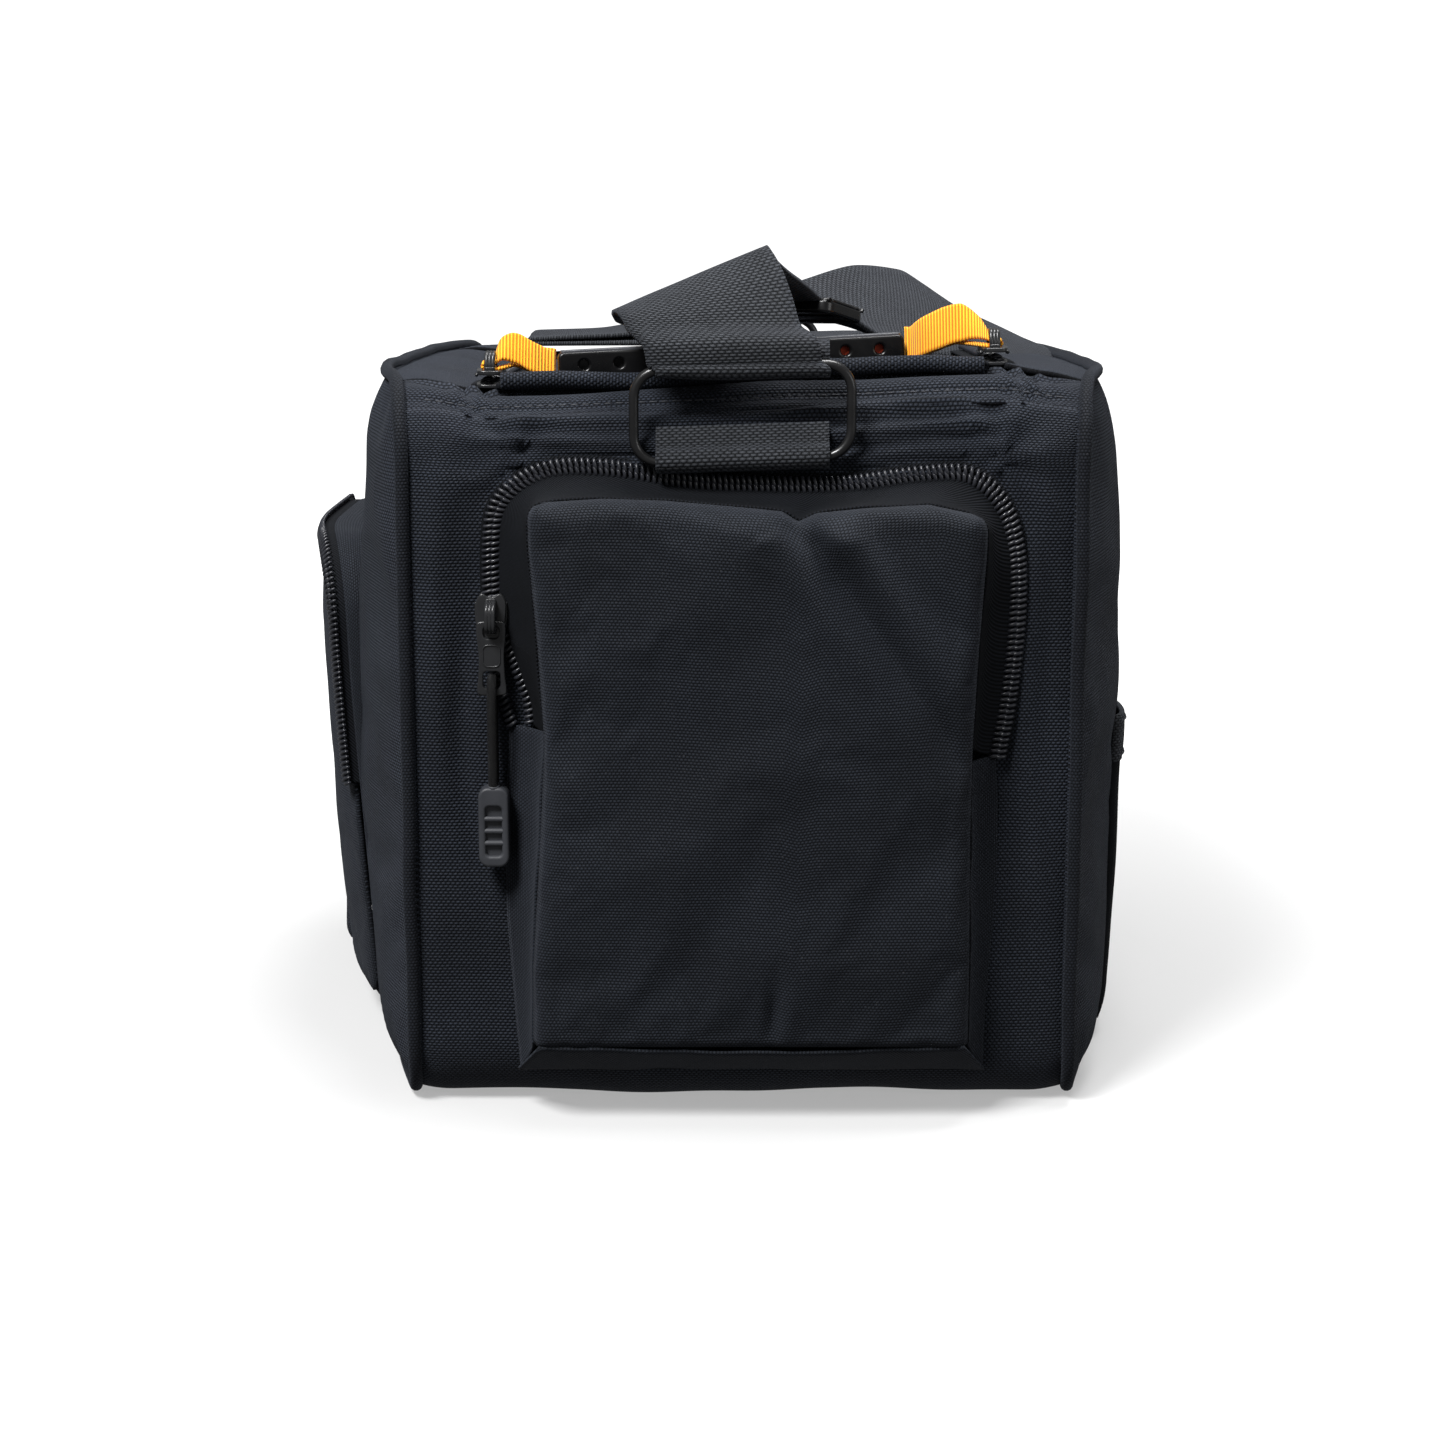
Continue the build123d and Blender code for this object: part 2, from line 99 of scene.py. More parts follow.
def makeFloor():
    material = bpy.data.materials.new("studioPaper")
    material.use_nodes = True
    shader = material.node_tree.nodes["Principled BSDF"]
    shader.inputs["Base Color"].default_value = (0.32, 0.32, 0.32, 1)
    shader.inputs["Roughness"].default_value = 0.9
    shader.inputs["Specular IOR Level"].default_value = 0.1
    # painted light: the paper glows, weaker near the middle (0.38 within 0.16 m, rising to 1.0 at 0.7 m), which
    # paints shade on the floor round the bag
    shader.inputs["Emission Color"].default_value = (1, 1, 1, 1)
    tree = material.node_tree
    coords = tree.nodes.new("ShaderNodeTexCoord")
    reach = tree.nodes.new("ShaderNodeVectorMath")
    reach.operation = "LENGTH"
    tree.links.new(coords.outputs["Object"], reach.inputs[0])
    glow = tree.nodes.new("ShaderNodeMapRange")
    for label, number in (("From Min", 0.16), ("From Max", 0.7), ("To Min", 0.38), ("To Max", 1.0)):
        glow.inputs[label].default_value = number
    tree.links.new(reach.outputs["Value"], glow.inputs["Value"])
    tree.links.new(glow.outputs["Result"], shader.inputs["Emission Strength"])
    mesh = bpy.data.meshes.new("floor")
    rows = []
    for y, z in ((-6, 0), (-2, 0), (2, 0), (3.4, 0.12), (4.3, 0.6), (4.8, 1.6), (5, 4)):
        rows += [(-9, y, z), (9, y, z)]
    faces = [(i, i + 1, i + 3, i + 2) for i in range(0, len(rows) - 2, 2)]
    mesh.from_pydata(rows, [], faces)
    mesh.polygons.foreach_set("use_smooth", [True] * len(faces))
    mesh.materials.append(material)
    floor = bpy.data.objects.new("floor", mesh)
    scene.collection.objects.link(floor)
    # the paper shows and takes shadows, but throws no light back up
    floor.visible_diffuse = False
    floor.visible_glossy = False


scene.view_settings.view_transform = "Standard"
makeCamera()
makeLights()
makeFloor()
print("camera, lights and floor")

# node helpers


def newGroup(name, inputs, outputs):
    group = bpy.data.node_groups.new(name, "ShaderNodeTree")
    for label, kind, value in inputs:
        socket = group.interface.new_socket(name=label, in_out="INPUT", socket_type=kind)
        if value is not None:
            socket.default_value = value
    for label, kind in outputs:
        group.interface.new_socket(name=label, in_out="OUTPUT", socket_type=kind)
    start = group.nodes.new("NodeGroupInput")
    end = group.nodes.new("NodeGroupOutput")
    return group, start, end


def mathNode(tree, operation, a, b=None, c=None):
    node = tree.nodes.new("ShaderNodeMath")
    node.operation = operation
    for index, value in enumerate((a, b, c)):
        if value is None:
            continue
        if isinstance(value, (int, float)):
            node.inputs[index].default_value = value
        else:
            tree.links.new(value, node.inputs[index])
    return node.outputs[0]


def noiseNode(tree, vector, scale, detail=3.0, roughness=0.55):
    node = tree.nodes.new("ShaderNodeTexNoise")
    node.inputs["Detail"].default_value = detail
    node.inputs["Roughness"].default_value = roughness
    if isinstance(scale, (int, float)):
        node.inputs["Scale"].default_value = scale
    else:
        tree.links.new(scale, node.inputs["Scale"])
    tree.links.new(vector, node.inputs["Vector"])
    return node.outputs["Fac"]


def smoothRange(tree, value, low, high, toLow=0.0, toHigh=1.0):
    node = tree.nodes.new("ShaderNodeMapRange")
    node.interpolation_type = "SMOOTHSTEP"
    for label, number in (
        ("From Min", low), ("From Max", high), ("To Min", toLow), ("To Max", toHigh)
    ):
        node.inputs[label].default_value = number
    tree.links.new(value, node.inputs["Value"])
    return node.outputs["Result"]


def mixColor(tree, factor, a, b):
    node = tree.nodes.new("ShaderNodeMix")
    node.data_type = "RGBA"
    for socket, value in ((node.inputs[0], factor), (node.inputs[6], a), (node.inputs[7], b)):
        if isinstance(value, (int, float)):
            socket.default_value = value
        elif isinstance(value, tuple):
            socket.default_value = (*value, 1)
        else:
            tree.links.new(value, socket)
    return node.outputs[2]


# plain weave with every second row shifted: raised yarns and dark gaps
def weaveGroup():
    group, start, end = newGroup(
        "clothWeave",
        [("Vector", "NodeSocketVector", None), ("Pitch", "NodeSocketFloat", 0.0014),
         ("Row Ratio", "NodeSocketFloat", 0.8), ("Wander", "NodeSocketFloat", 0.25)],
        [("Height", "NodeSocketFloat"), ("Gap", "NodeSocketFloat"), ("Yarn", "NodeSocketFloat")],
    )
    split = group.nodes.new("ShaderNodeSeparateXYZ")
    group.links.new(start.outputs["Vector"], split.inputs[0])
    drift = noiseNode(group, start.outputs["Vector"], 900.0, 1.0)
    drift = mathNode(group, "MULTIPLY", mathNode(group, "SUBTRACT", drift, 0.5), start.outputs["Wander"])
    rowPitch = mathNode(group, "MULTIPLY", start.outputs["Pitch"], start.outputs["Row Ratio"])
    u = mathNode(group, "DIVIDE", split.outputs["X"], start.outputs["Pitch"])
    v = mathNode(group, "ADD", mathNode(group, "DIVIDE", split.outputs["Y"], rowPitch), drift)
    row = mathNode(group, "FLOOR", v)
    shift = mathNode(group, "MULTIPLY", mathNode(group, "FLOORED_MODULO", row, 2.0), 0.5)
    u = mathNode(group, "ADD", mathNode(group, "ADD", u, shift), drift)
    fu = mathNode(group, "SUBTRACT", mathNode(group, "FRACT", u), 0.5)
    fv = mathNode(group, "SUBTRACT", mathNode(group, "FRACT", v), 0.5)
    bu = mathNode(group, "COSINE", mathNode(group, "MULTIPLY", fu, math.pi))
    bv = mathNode(group, "COSINE", mathNode(group, "MULTIPLY", fv, math.pi))
    height = mathNode(group, "POWER", mathNode(group, "MULTIPLY", bu, bv), 0.7)
    group.links.new(height, end.inputs["Height"])
    group.links.new(smoothRange(group, height, 0.05, 0.45, 1.0, 0.0), end.inputs["Gap"])
    cell = group.nodes.new("ShaderNodeTexWhiteNoise")
    join = group.nodes.new("ShaderNodeCombineXYZ")
    group.links.new(mathNode(group, "FLOOR", u), join.inputs[0])
    group.links.new(row, join.inputs[1])
    group.links.new(join.outputs[0], cell.inputs["Vector"])
    group.links.new(cell.outputs["Value"], end.inputs["Yarn"])
    return group


# straight or slanting ribs
def ribGroup():
    group, start, end = newGroup(
        "ribs",
        [("Vector", "NodeSocketVector", None), ("Pitch", "NodeSocketFloat", 0.001),
         ("Slant", "NodeSocketFloat", 0.0), ("Zigzag", "NodeSocketFloat", 0.0)],
        [("Height", "NodeSocketFloat"), ("Gap", "NodeSocketFloat")],
    )
    split = group.nodes.new("ShaderNodeSeparateXYZ")
    group.links.new(start.outputs["Vector"], split.inputs[0])
    along = mathNode(group, "DIVIDE", split.outputs["Y"], start.outputs["Pitch"])
    across = mathNode(group, "DIVIDE", split.outputs["X"], start.outputs["Pitch"])
    bend = mathNode(group, "PINGPONG", across, 3.0)
    bend = mathNode(group, "MULTIPLY", bend, start.outputs["Zigzag"])
    lean = mathNode(group, "MULTIPLY", across, start.outputs["Slant"])
    phase = mathNode(group, "ADD", mathNode(group, "ADD", along, lean), bend)
    wave = mathNode(group, "COSINE", mathNode(group, "MULTIPLY", phase, 2 * math.pi))
    height = mathNode(group, "MULTIPLY_ADD", wave, 0.5, 0.5)
    group.links.new(height, end.inputs["Height"])
    group.links.new(smoothRange(group, height, 0.0, 0.4, 1.0, 0.0), end.inputs["Gap"])
    return group


# slow changes of tone from handling, dust and dye
def wearGroup():
    group, start, end = newGroup(
        "wearAndDust",
        [("Vector", "NodeSocketVector", None), ("Scale", "NodeSocketFloat", 30.0)],
        [("Patches", "NodeSocketFloat"), ("Lint", "NodeSocketFloat")],
    )
    patches = noiseNode(group, start.outputs["Vector"], start.outputs["Scale"], 4.0)
    group.links.new(patches, end.inputs["Patches"])
    fine = noiseNode(group, start.outputs["Vector"], 1400.0, 2.0)
    group.links.new(smoothRange(group, fine, 0.66, 0.74), end.inputs["Lint"])
    return group


weaveTree = weaveGroup()
ribTree = ribGroup()
wearTree = wearGroup()


def useGroup(tree, group, vector, **values):
    node = tree.nodes.new("ShaderNodeGroup")
    node.node_tree = group
    tree.links.new(vector, node.inputs["Vector"])
    for label, value in values.items():
        node.inputs[label.replace("_", " ")].default_value = value
    return node


def startMaterial(name, roughness, useUv=True):
    material = bpy.data.materials.new(name)
    material.use_nodes = True
    tree = material.node_tree
    shader = tree.nodes["Principled BSDF"]
    shader.inputs["Roughness"].default_value = roughness
    coords = tree.nodes.new("ShaderNodeTexCoord")
    return material, tree, shader, coords.outputs["UV" if useUv else "Object"], coords.outputs["Object"]


def addBump(tree, shader, height, distance, strength=1.0, previous=None):
    bump = tree.nodes.new("ShaderNodeBump")
    bump.inputs["Distance"].default_value = distance
    bump.inputs["Strength"].default_value = strength
    tree.links.new(height, bump.inputs["Height"])
    if previous is not None:
        tree.links.new(previous, bump.inputs["Normal"])
    tree.links.new(bump.outputs["Normal"], shader.inputs["Normal"])
    return bump.outputs["Normal"]


def clothMaterial(name, dark, light, pitch, ratio=0.8, depth=0.00025, sheen=0.04, roughness=0.8):
    material, tree, shader, uv, place = startMaterial(name, roughness)
    weave = useGroup(tree, weaveTree, uv, Pitch=pitch, Row_Ratio=ratio)
    wear = useGroup(tree, wearTree, place, Scale=26.0)
    yarn = mathNode(tree, "MULTIPLY_ADD", weave.outputs["Yarn"], 0.22, 0.78)
    tone = mathNode(tree, "MULTIPLY", mathNode(tree, "POWER", weave.outputs["Height"], 1.4), yarn)
    patch = smoothRange(tree, wear.outputs["Patches"], 0.3, 0.7, 0.75, 1.15)
    tone = mathNode(tree, "MULTIPLY", tone, patch)
    color = mixColor(tree, tone, dark, light)
    color = mixColor(tree, mathNode(tree, "MULTIPLY", wear.outputs["Lint"], 0.06), color, (0.3, 0.3, 0.32))
    tree.links.new(color, shader.inputs["Base Color"])
    rough = smoothRange(tree, weave.outputs["Height"], 0.0, 1.0, roughness + 0.1, roughness - 0.12)
    tree.links.new(rough, shader.inputs["Roughness"])
    shader.inputs["Sheen Weight"].default_value = sheen
    shader.inputs["Sheen Roughness"].default_value = 0.5
    shader.inputs["Sheen Tint"].default_value = (0.75, 0.82, 1, 1)
    shader.inputs["Specular IOR Level"].default_value = 0.14
    soft = mathNode(tree, "MULTIPLY", wear.outputs["Patches"], 0.6)
    height = mathNode(tree, "ADD", weave.outputs["Height"], soft)
    addBump(tree, shader, height, depth)
    return material


def ribMaterial(name, dark, light, pitch, slant=0.0, zigzag=0.0, depth=0.0002, sheen=0.03, roughness=0.65):
    material, tree, shader, uv, place = startMaterial(name, roughness)
    ribs = useGroup(tree, ribTree, uv, Pitch=pitch, Slant=slant, Zigzag=zigzag)
    wear = useGroup(tree, wearTree, place, Scale=60.0)
    patch = smoothRange(tree, wear.outputs["Patches"], 0.3, 0.7, 0.8, 1.1)
    tone = mathNode(tree, "MULTIPLY", ribs.outputs["Height"], patch)
    tree.links.new(mixColor(tree, tone, dark, light), shader.inputs["Base Color"])
    shader.inputs["Sheen Weight"].default_value = sheen
    shader.inputs["Sheen Roughness"].default_value = 0.45
    shader.inputs["Specular IOR Level"].default_value = 0.12
    addBump(tree, shader, ribs.outputs["Height"], depth)
    return material


# metal and moulded pieces: fine casting grain, scuffs that change the gloss
def hardMaterial(name, color, roughness, metallic=0.0, grain=600.0, depth=0.00003, coat=0.0, useUv=False):
    material, tree, shader, _, place = startMaterial(name, roughness, useUv)
    fine = noiseNode(tree, place, grain, 3.0)
    broad = noiseNode(tree, place, 90.0, 4.0)
    darker = tuple(0.7 * c for c in color)
    tree.links.new(mixColor(tree, broad, darker, color), shader.inputs["Base Color"])
    rough = smoothRange(tree, broad, 0.3, 0.7, max(roughness - 0.08, 0.03), roughness + 0.12)
    tree.links.new(rough, shader.inputs["Roughness"])
    shader.inputs["Metallic"].default_value = metallic
    shader.inputs["Specular IOR Level"].default_value = 0.35
    shader.inputs["Coat Weight"].default_value = coat
    shader.inputs["Coat Roughness"].default_value = 0.12
    addBump(tree, shader, fine, depth)
    return material


finish = {
    # painted shade: a darker red-orange copy of the ribbon's colour, for the ribbon seen in shade through the
    # pull bar's eyelets
    "lining": hardMaterial("orangeLining", (0.38, 0.035, 0.006), 0.6, 0.0, 900.0, 0.00005),
    "oxford": clothMaterial(
        "oxfordCloth", (0.0003, 0.0004, 0.0009), (0.024, 0.0295, 0.042),
        pitch=0.0015, ratio=0.66, depth=0.0004),
    "fine": clothMaterial(
        "fineOxford", (0.0007, 0.0009, 0.0015), (0.0185, 0.0225, 0.031),
        pitch=0.00115, ratio=0.8, depth=0.0002),
    "piping": clothMaterial(
        "pipingCover", (0.0004, 0.0005, 0.0009), (0.013, 0.0158, 0.022),
        pitch=0.0012, ratio=0.8, depth=0.00016),
    "webbing": clothMaterial(
        "strapWebbing", (0.0004, 0.0005, 0.0007), (0.04, 0.0435, 0.05),
        pitch=0.0022, ratio=0.42, depth=0.00035, sheen=0.06),
    "tape": ribMaterial(
        "zipTape", (0.0003, 0.0004, 0.0006), (0.0062, 0.0075, 0.0105),
        pitch=0.0012, slant=1.0, depth=0.00018, sheen=0.0, roughness=0.85),
    "ribbon": ribMaterial(
        "orangeGrosgrain", (0.5, 0.12, 0.003), (1.0, 0.5, 0.03), pitch=0.0011, depth=0.0003, sheen=0.1),
    "braid": ribMaterial(
        "braidedCord", (0.001, 0.001, 0.0012), (0.012, 0.0125, 0.014),
        pitch=0.0011, zigzag=0.5, depth=0.0003),
    "coil": hardMaterial("nylonCoil", (0.02, 0.021, 0.026), 0.3, 0.0, 900.0, 0.00003),
    "blackMetal": hardMaterial("blackEnamel", (0.016, 0.0165, 0.018), 0.32, 0.0, 700.0, 0.00002, 0.15),
    "vinyl": hardMaterial("glossVinyl", (0.004, 0.004, 0.0045), 0.28, 0.0, 300.0, 0.00002, 0.0),
    "rubber": hardMaterial("mouldedRubber", (0.034, 0.036, 0.042), 0.48, 0.0, 800.0, 0.00004),
    "net": hardMaterial("meshNet", (0.012, 0.012, 0.014), 0.6, 0.0, 2500.0, 0.00004),
    "board": hardMaterial("stiffBoard", (0.03, 0.03, 0.034), 0.5, 0.0, 400.0, 0.00006),
    "foam": hardMaterial("closedCellFoam", (0.045, 0.045, 0.05), 0.8, 0.0, 1200.0, 0.0003),
    "wire": hardMaterial("blackWire", (0.006, 0.006, 0.0065), 0.3, 0.0, 500.0, 0.00002, 0.2),
    # painted highlight: a light grey copy of the black vinyl, for the lit top of the pull bar
    "satin": hardMaterial("satinVinyl", (0.07, 0.073, 0.082), 0.4, 0.0, 300.0, 0.00002, 0.1),
    "thread": hardMaterial("thread", (0.03, 0.032, 0.04), 0.6, 0.0, 2000.0, 0.00002),
}
print("materials", len(finish))

# mesh helpers


def addObject(name, mesh, material=None):
    if material is not None:
        mesh.materials.clear()
        mesh.materials.append(material)
    made = bpy.data.objects.new(name, mesh)
    scene.collection.objects.link(made)
    return made


# grid of points rows x columns with a UV map in metres
def gridSheet(name, points, material, uv=None):
    rows, cols = points.shape[:2]
    mesh = bpy.data.meshes.new(name)
    flat = points.reshape(-1, 3).tolist()
    faces = []
    for r in range(rows - 1):
        for c in range(cols - 1):
            a = r * cols + c
            faces.append((a, a + 1, a + cols + 1, a + cols))
    mesh.from_pydata(flat, [], faces)
    if uv is None:
        du = np.linalg.norm(np.diff(points, axis=1), axis=2)
        dv = np.linalg.norm(np.diff(points, axis=0), axis=2)
        u = np.zeros((rows, cols))
        v = np.zeros((rows, cols))
        u[:, 1:] = np.cumsum(du, axis=1)
        u -= u.mean(axis=1, keepdims=True)
        v[1:, :] = np.cumsum(dv, axis=0)
        v[:] = v.mean(axis=1, keepdims=True)
        uv = np.dstack([u, v])
    layer = mesh.uv_layers.new(name="cloth")
    flatUv = uv.reshape(-1, 2)
    loops = np.array([v for face in faces for v in face])
    layer.data.foreach_set("uv", flatUv[loops].ravel())
    mesh.polygons.foreach_set("use_smooth", [True] * len(faces))
    mesh.update()
    return addObject(name, mesh, material)


# replaces live modifiers by their result
def settle(piece):
    depsgraph = bpy.context.evaluated_depsgraph_get()
    mesh = bpy.data.meshes.new_from_object(piece.evaluated_get(depsgraph))
    mesh.name = piece.name
    piece.modifiers.clear()
    piece.data = mesh
    return piece


def thicken(piece, thickness, offset=-1.0, smooth=0):
    solid = piece.modifiers.new("cloth", "SOLIDIFY")
    solid.thickness = thickness
    solid.offset = offset
    solid.use_even_offset = False
    if smooth:
        sub = piece.modifiers.new("smooth", "SUBSURF")
        sub.levels = smooth
        sub.render_levels = smooth
    return settle(piece)


clothSettings = {"frames": 14, "mass": 0.25, "stiff": 12, "bend": 1.6}


# short cloth run: spare cloth is pushed out from its pinned edge until it folds
def billow(piece, pinned, pressure, spare, cap):
    before = np.zeros(len(piece.data.vertices) * 3, np.float32)
    piece.data.vertices.foreach_get("co", before)
    before = before.reshape(-1, 3)
    pins = piece.vertex_groups.new(name="sewn")
    pins.add(pinned, 1.0, "REPLACE")
    cloth = piece.modifiers.new("cloth", "CLOTH")
    rules = cloth.settings
    rules.quality = 6
    rules.mass = clothSettings["mass"]
    rules.tension_stiffness = clothSettings["stiff"]
    rules.compression_stiffness = clothSettings["stiff"]
    rules.bending_stiffness = clothSettings["bend"]
    rules.vertex_group_mass = "sewn"
    rules.use_pressure = True
    rules.uniform_pressure_force = pressure
    rules.shrink_min = -spare
    rules.effector_weights.gravity = 0
    cloth.collision_settings.use_collision = False
    cloth.point_cache.frame_end = clothSettings["frames"] + 1
    for step in range(1, clothSettings["frames"] + 1):
        scene.frame_set(step)
    settle(piece)
    after = np.zeros(len(piece.data.vertices) * 3, np.float32)
    piece.data.vertices.foreach_get("co", after)
    after = after.reshape(-1, 3)
    move = after - before
    reach = np.linalg.norm(move, axis=1, keepdims=True)
    limited = before + move * np.minimum(0.6, cap / np.maximum(reach, 1e-9))
    piece.data.vertices.foreach_set("co", limited.ravel())
    piece.data.update()
    piece.vertex_groups.clear()
    scene.frame_set(1)
    return piece


def edgeOf(rows, cols, sides="tblr"):
    picks = set()
    if "t" in sides:
        picks |= {(rows - 1) * cols + c for c in range(cols)}
    if "b" in sides:
        picks |= set(range(cols))
    if "l" in sides:
        picks |= {r * cols for r in range(rows)}
    if "r" in sides:
        picks |= {r * cols + cols - 1 for r in range(rows)}
    return sorted(picks)


def smoothNoise(points, scale, seed):
    return noise.noise(Vector(points) * scale + Vector((seed, 2 * seed, -seed)))


# smooth curve through few points, as an array of count places
def smoothPath(points, count, closed=False):
    pts = np.array(points, float)
    n = len(pts)
    if closed:
        index = np.arange(-1, n + 2) % n
    else:
        index = np.clip(np.arange(-1, n + 1), 0, n - 1)
    ctrl = pts[index]
    if not closed:
        ctrl[0] = 2 * pts[0] - pts[1]
        ctrl[-1] = 2 * pts[-1] - pts[-2]
    out = []
    spans = n if closed else n - 1
    for i in range(spans):
        a, b, c, d = ctrl[i:i + 4]
        for k in range(24):
            t = k / 24
            out.append(0.5 * (2 * b + (c - a) * t + (2 * a - 5 * b + 4 * c - d) * t * t
                              + (3 * b - a - 3 * c + d) * t ** 3))
    out.append(pts[0] if closed else pts[-1])
    out = np.array(out)
    step = np.concatenate([[0], np.cumsum(np.linalg.norm(np.diff(out, axis=0), axis=1))])
    want = np.linspace(0, step[-1], count)
    return np.column_stack([np.interp(want, step, out[:, k]) for k in range(out.shape[1])])


def lengthOf(path):
    return float(np.linalg.norm(np.diff(path, axis=0), axis=1).sum())


# round tube along a dense path
def tube(name, path, radius, material, sides=10, closed=False, uvScale=1.0):
    count = len(path)
    tangent = np.gradient(path, axis=0)
    if closed:
        tangent = np.roll(path, -1, axis=0) - np.roll(path, 1, axis=0)
    tangent /= np.linalg.norm(tangent, axis=1, keepdims=True)
    side = np.cross(tangent[0], (0.3, 0.2, 0.93))
    side /= np.linalg.norm(side)
    radii = np.broadcast_to(radius, (count,))
    verts = []
    for i in range(count):
        side = side - tangent[i] * side.dot(tangent[i])
        side /= np.linalg.norm(side)
        up = np.cross(tangent[i], side)
        for k in range(sides):
            angle = 2 * math.pi * k / sides
            verts.append(path[i] + radii[i] * (math.cos(angle) * side + math.sin(angle) * up))
    faces = []
    uvs = []
    run = np.concatenate([[0], np.cumsum(np.linalg.norm(np.diff(path, axis=0), axis=1))])
    last = count if closed else count - 1
    for i in range(last):
        j = (i + 1) % count
        far = run[i + 1] if i + 1 < count else run[i] + run[1]
        for k in range(sides):
            m = (k + 1) % sides
            faces.append((i * sides + k, i * sides + m, j * sides + m, j * sides + k))
            wide = 2 * math.pi * radii[i] / sides
            uvs += [(k * wide, run[i]), ((k + 1) * wide, run[i]), ((k + 1) * wide, far), (k * wide, far)]
    if not closed:
        faces.append(tuple(range(sides))[::-1])
        faces.append(tuple((count - 1) * sides + k for k in range(sides)))
        uvs += [(0, 0)] * (2 * sides)
    mesh = bpy.data.meshes.new(name)
    mesh.from_pydata([tuple(v) for v in verts], [], faces)
    layer = mesh.uv_layers.new(name="cloth")
    layer.data.foreach_set("uv", (np.array(uvs) * uvScale).ravel())
    mesh.polygons.foreach_set("use_smooth", [True] * len(faces))
    mesh.update()
    return addObject(name, mesh, material)


def joinAll(name, pieces):
    bpy.ops.object.select_all(action="DESELECT")
    for piece in pieces:
        piece.select_set(True)
    bpy.context.view_layer.objects.active = pieces[0]
    bpy.ops.object.join()
    joined = pieces[0]
    joined.name = name
    joined.data.name = name
    return joined


# flat shape from an outline and its holes, given thickness and rounded edges
def plate(name, outlines, thickness, bevel, place, material, segments=2):
    curve = bpy.data.curves.new(name, "CURVE")
    curve.dimensions = "2D"
    curve.fill_mode = "BOTH"
    curve.extrude = thickness / 2 - bevel
    curve.bevel_depth = bevel
    curve.bevel_resolution = segments
    curve.offset = -bevel
    for outline in outlines:
        spline = curve.splines.new("POLY")
        spline.points.add(len(outline) - 1)
        for point, (x, y) in zip(spline.points, outline):
            point.co = (x, y, 0, 1)
        spline.use_cyclic_u = True
    piece = bpy.data.objects.new(name, curve)
    scene.collection.objects.link(piece)
    mesh = bpy.data.meshes.new_from_object(piece.evaluated_get(bpy.context.evaluated_depsgraph_get()))
    bpy.data.objects.remove(piece)
    mesh.transform(place)
    bm = bmesh.new()
    bm.from_mesh(mesh)
    bmesh.ops.remove_doubles(bm, verts=bm.verts, dist=1e-6)
    bmesh.ops.recalc_face_normals(bm, faces=bm.faces)
    bm.to_mesh(mesh)
    bm.free()
    mesh.polygons.foreach_set("use_smooth", [True] * len(mesh.polygons))
    made = addObject(name, mesh, material)
    sharp = made.modifiers.new("edges", "WEIGHTED_NORMAL")
    sharp.keep_sharp = True
    return settle(made)


def roundedOutline(width, height, radius, x=0.0, y=0.0, steps=6):
    points = []
    for cx, cy, start in (
        (width / 2 - radius, height / 2 - radius, 0), (-width / 2 + radius, height / 2 - radius, 90),
        (-width / 2 + radius, -height / 2 + radius, 180), (width / 2 - radius, -height / 2 + radius, 270),
    ):
        for k in range(steps + 1):
            angle = math.radians(start + 90 * k / steps)
            points.append((x + cx + radius * math.cos(angle), y + cy + radius * math.sin(angle)))
    return points


# repeats along a path, by geometry nodes


def repeatTree():
    tree = bpy.data.node_groups.new("repeatAlongPath", "GeometryNodeTree")
    face = tree.interface
    face.new_socket(name="Geometry", in_out="INPUT", socket_type="NodeSocketGeometry")
    face.new_socket(name="Spacing", in_out="INPUT", socket_type="NodeSocketFloat")
    face.new_socket(name="Start Shift", in_out="INPUT", socket_type="NodeSocketFloat")
    face.new_socket(name="Outwards", in_out="INPUT", socket_type="NodeSocketVector")
    face.new_socket(name="Shape", in_out="INPUT", socket_type="NodeSocketObject")
    face.new_socket(name="Finish", in_out="INPUT", socket_type="NodeSocketMaterial")
    face.new_socket(name="Geometry", in_out="OUTPUT", socket_type="NodeSocketGeometry")
    start = tree.nodes.new("NodeGroupInput")
    end = tree.nodes.new("NodeGroupOutput")
    new, link = tree.nodes.new, tree.links.new
    toCurve = new("GeometryNodeMeshToCurve")
    link(start.outputs["Geometry"], toCurve.inputs[0])
    trim = new("GeometryNodeTrimCurve")
    trim.mode = "LENGTH"
    link(toCurve.outputs[0], trim.inputs["Curve"])
    link(start.outputs["Start Shift"], trim.inputs[4])
    trim.inputs[5].default_value = 100.0
    resample = new("GeometryNodeResampleCurve")
    resample.mode = "LENGTH"
    link(trim.outputs[0], resample.inputs["Curve"])
    link(start.outputs["Spacing"], resample.inputs["Length"])
    tangent = new("GeometryNodeInputTangent")
    alongPath = new("FunctionNodeAlignRotationToVector")
    alongPath.axis = "Y"
    link(tangent.outputs[0], alongPath.inputs["Vector"])
    outwards = new("FunctionNodeAlignRotationToVector")
    outwards.axis = "Z"
    outwards.pivot_axis = "Y"
    link(alongPath.outputs[0], outwards.inputs["Rotation"])
    link(start.outputs["Outwards"], outwards.inputs["Vector"])
    shape = new("GeometryNodeObjectInfo")
    link(start.outputs["Shape"], shape.inputs["Object"])
    copies = new("GeometryNodeInstanceOnPoints")
    link(resample.outputs[0], copies.inputs["Points"])
    link(shape.outputs["Geometry"], copies.inputs["Instance"])
    link(outwards.outputs[0], copies.inputs["Rotation"])
    real = new("GeometryNodeRealizeInstances")
    link(copies.outputs[0], real.inputs[0])
    paint = new("GeometryNodeSetMaterial")
    link(real.outputs[0], paint.inputs["Geometry"])
    link(start.outputs["Finish"], paint.inputs["Material"])
    link(paint.outputs[0], end.inputs[0])
    return tree


pathTree = repeatTree()


def setInput(modifier, label, value):
    for item in modifier.node_group.interface.items_tree:
        if item.in_out == "INPUT" and item.name == label:
            modifier[item.identifier] = value
            return
    raise KeyError(label)


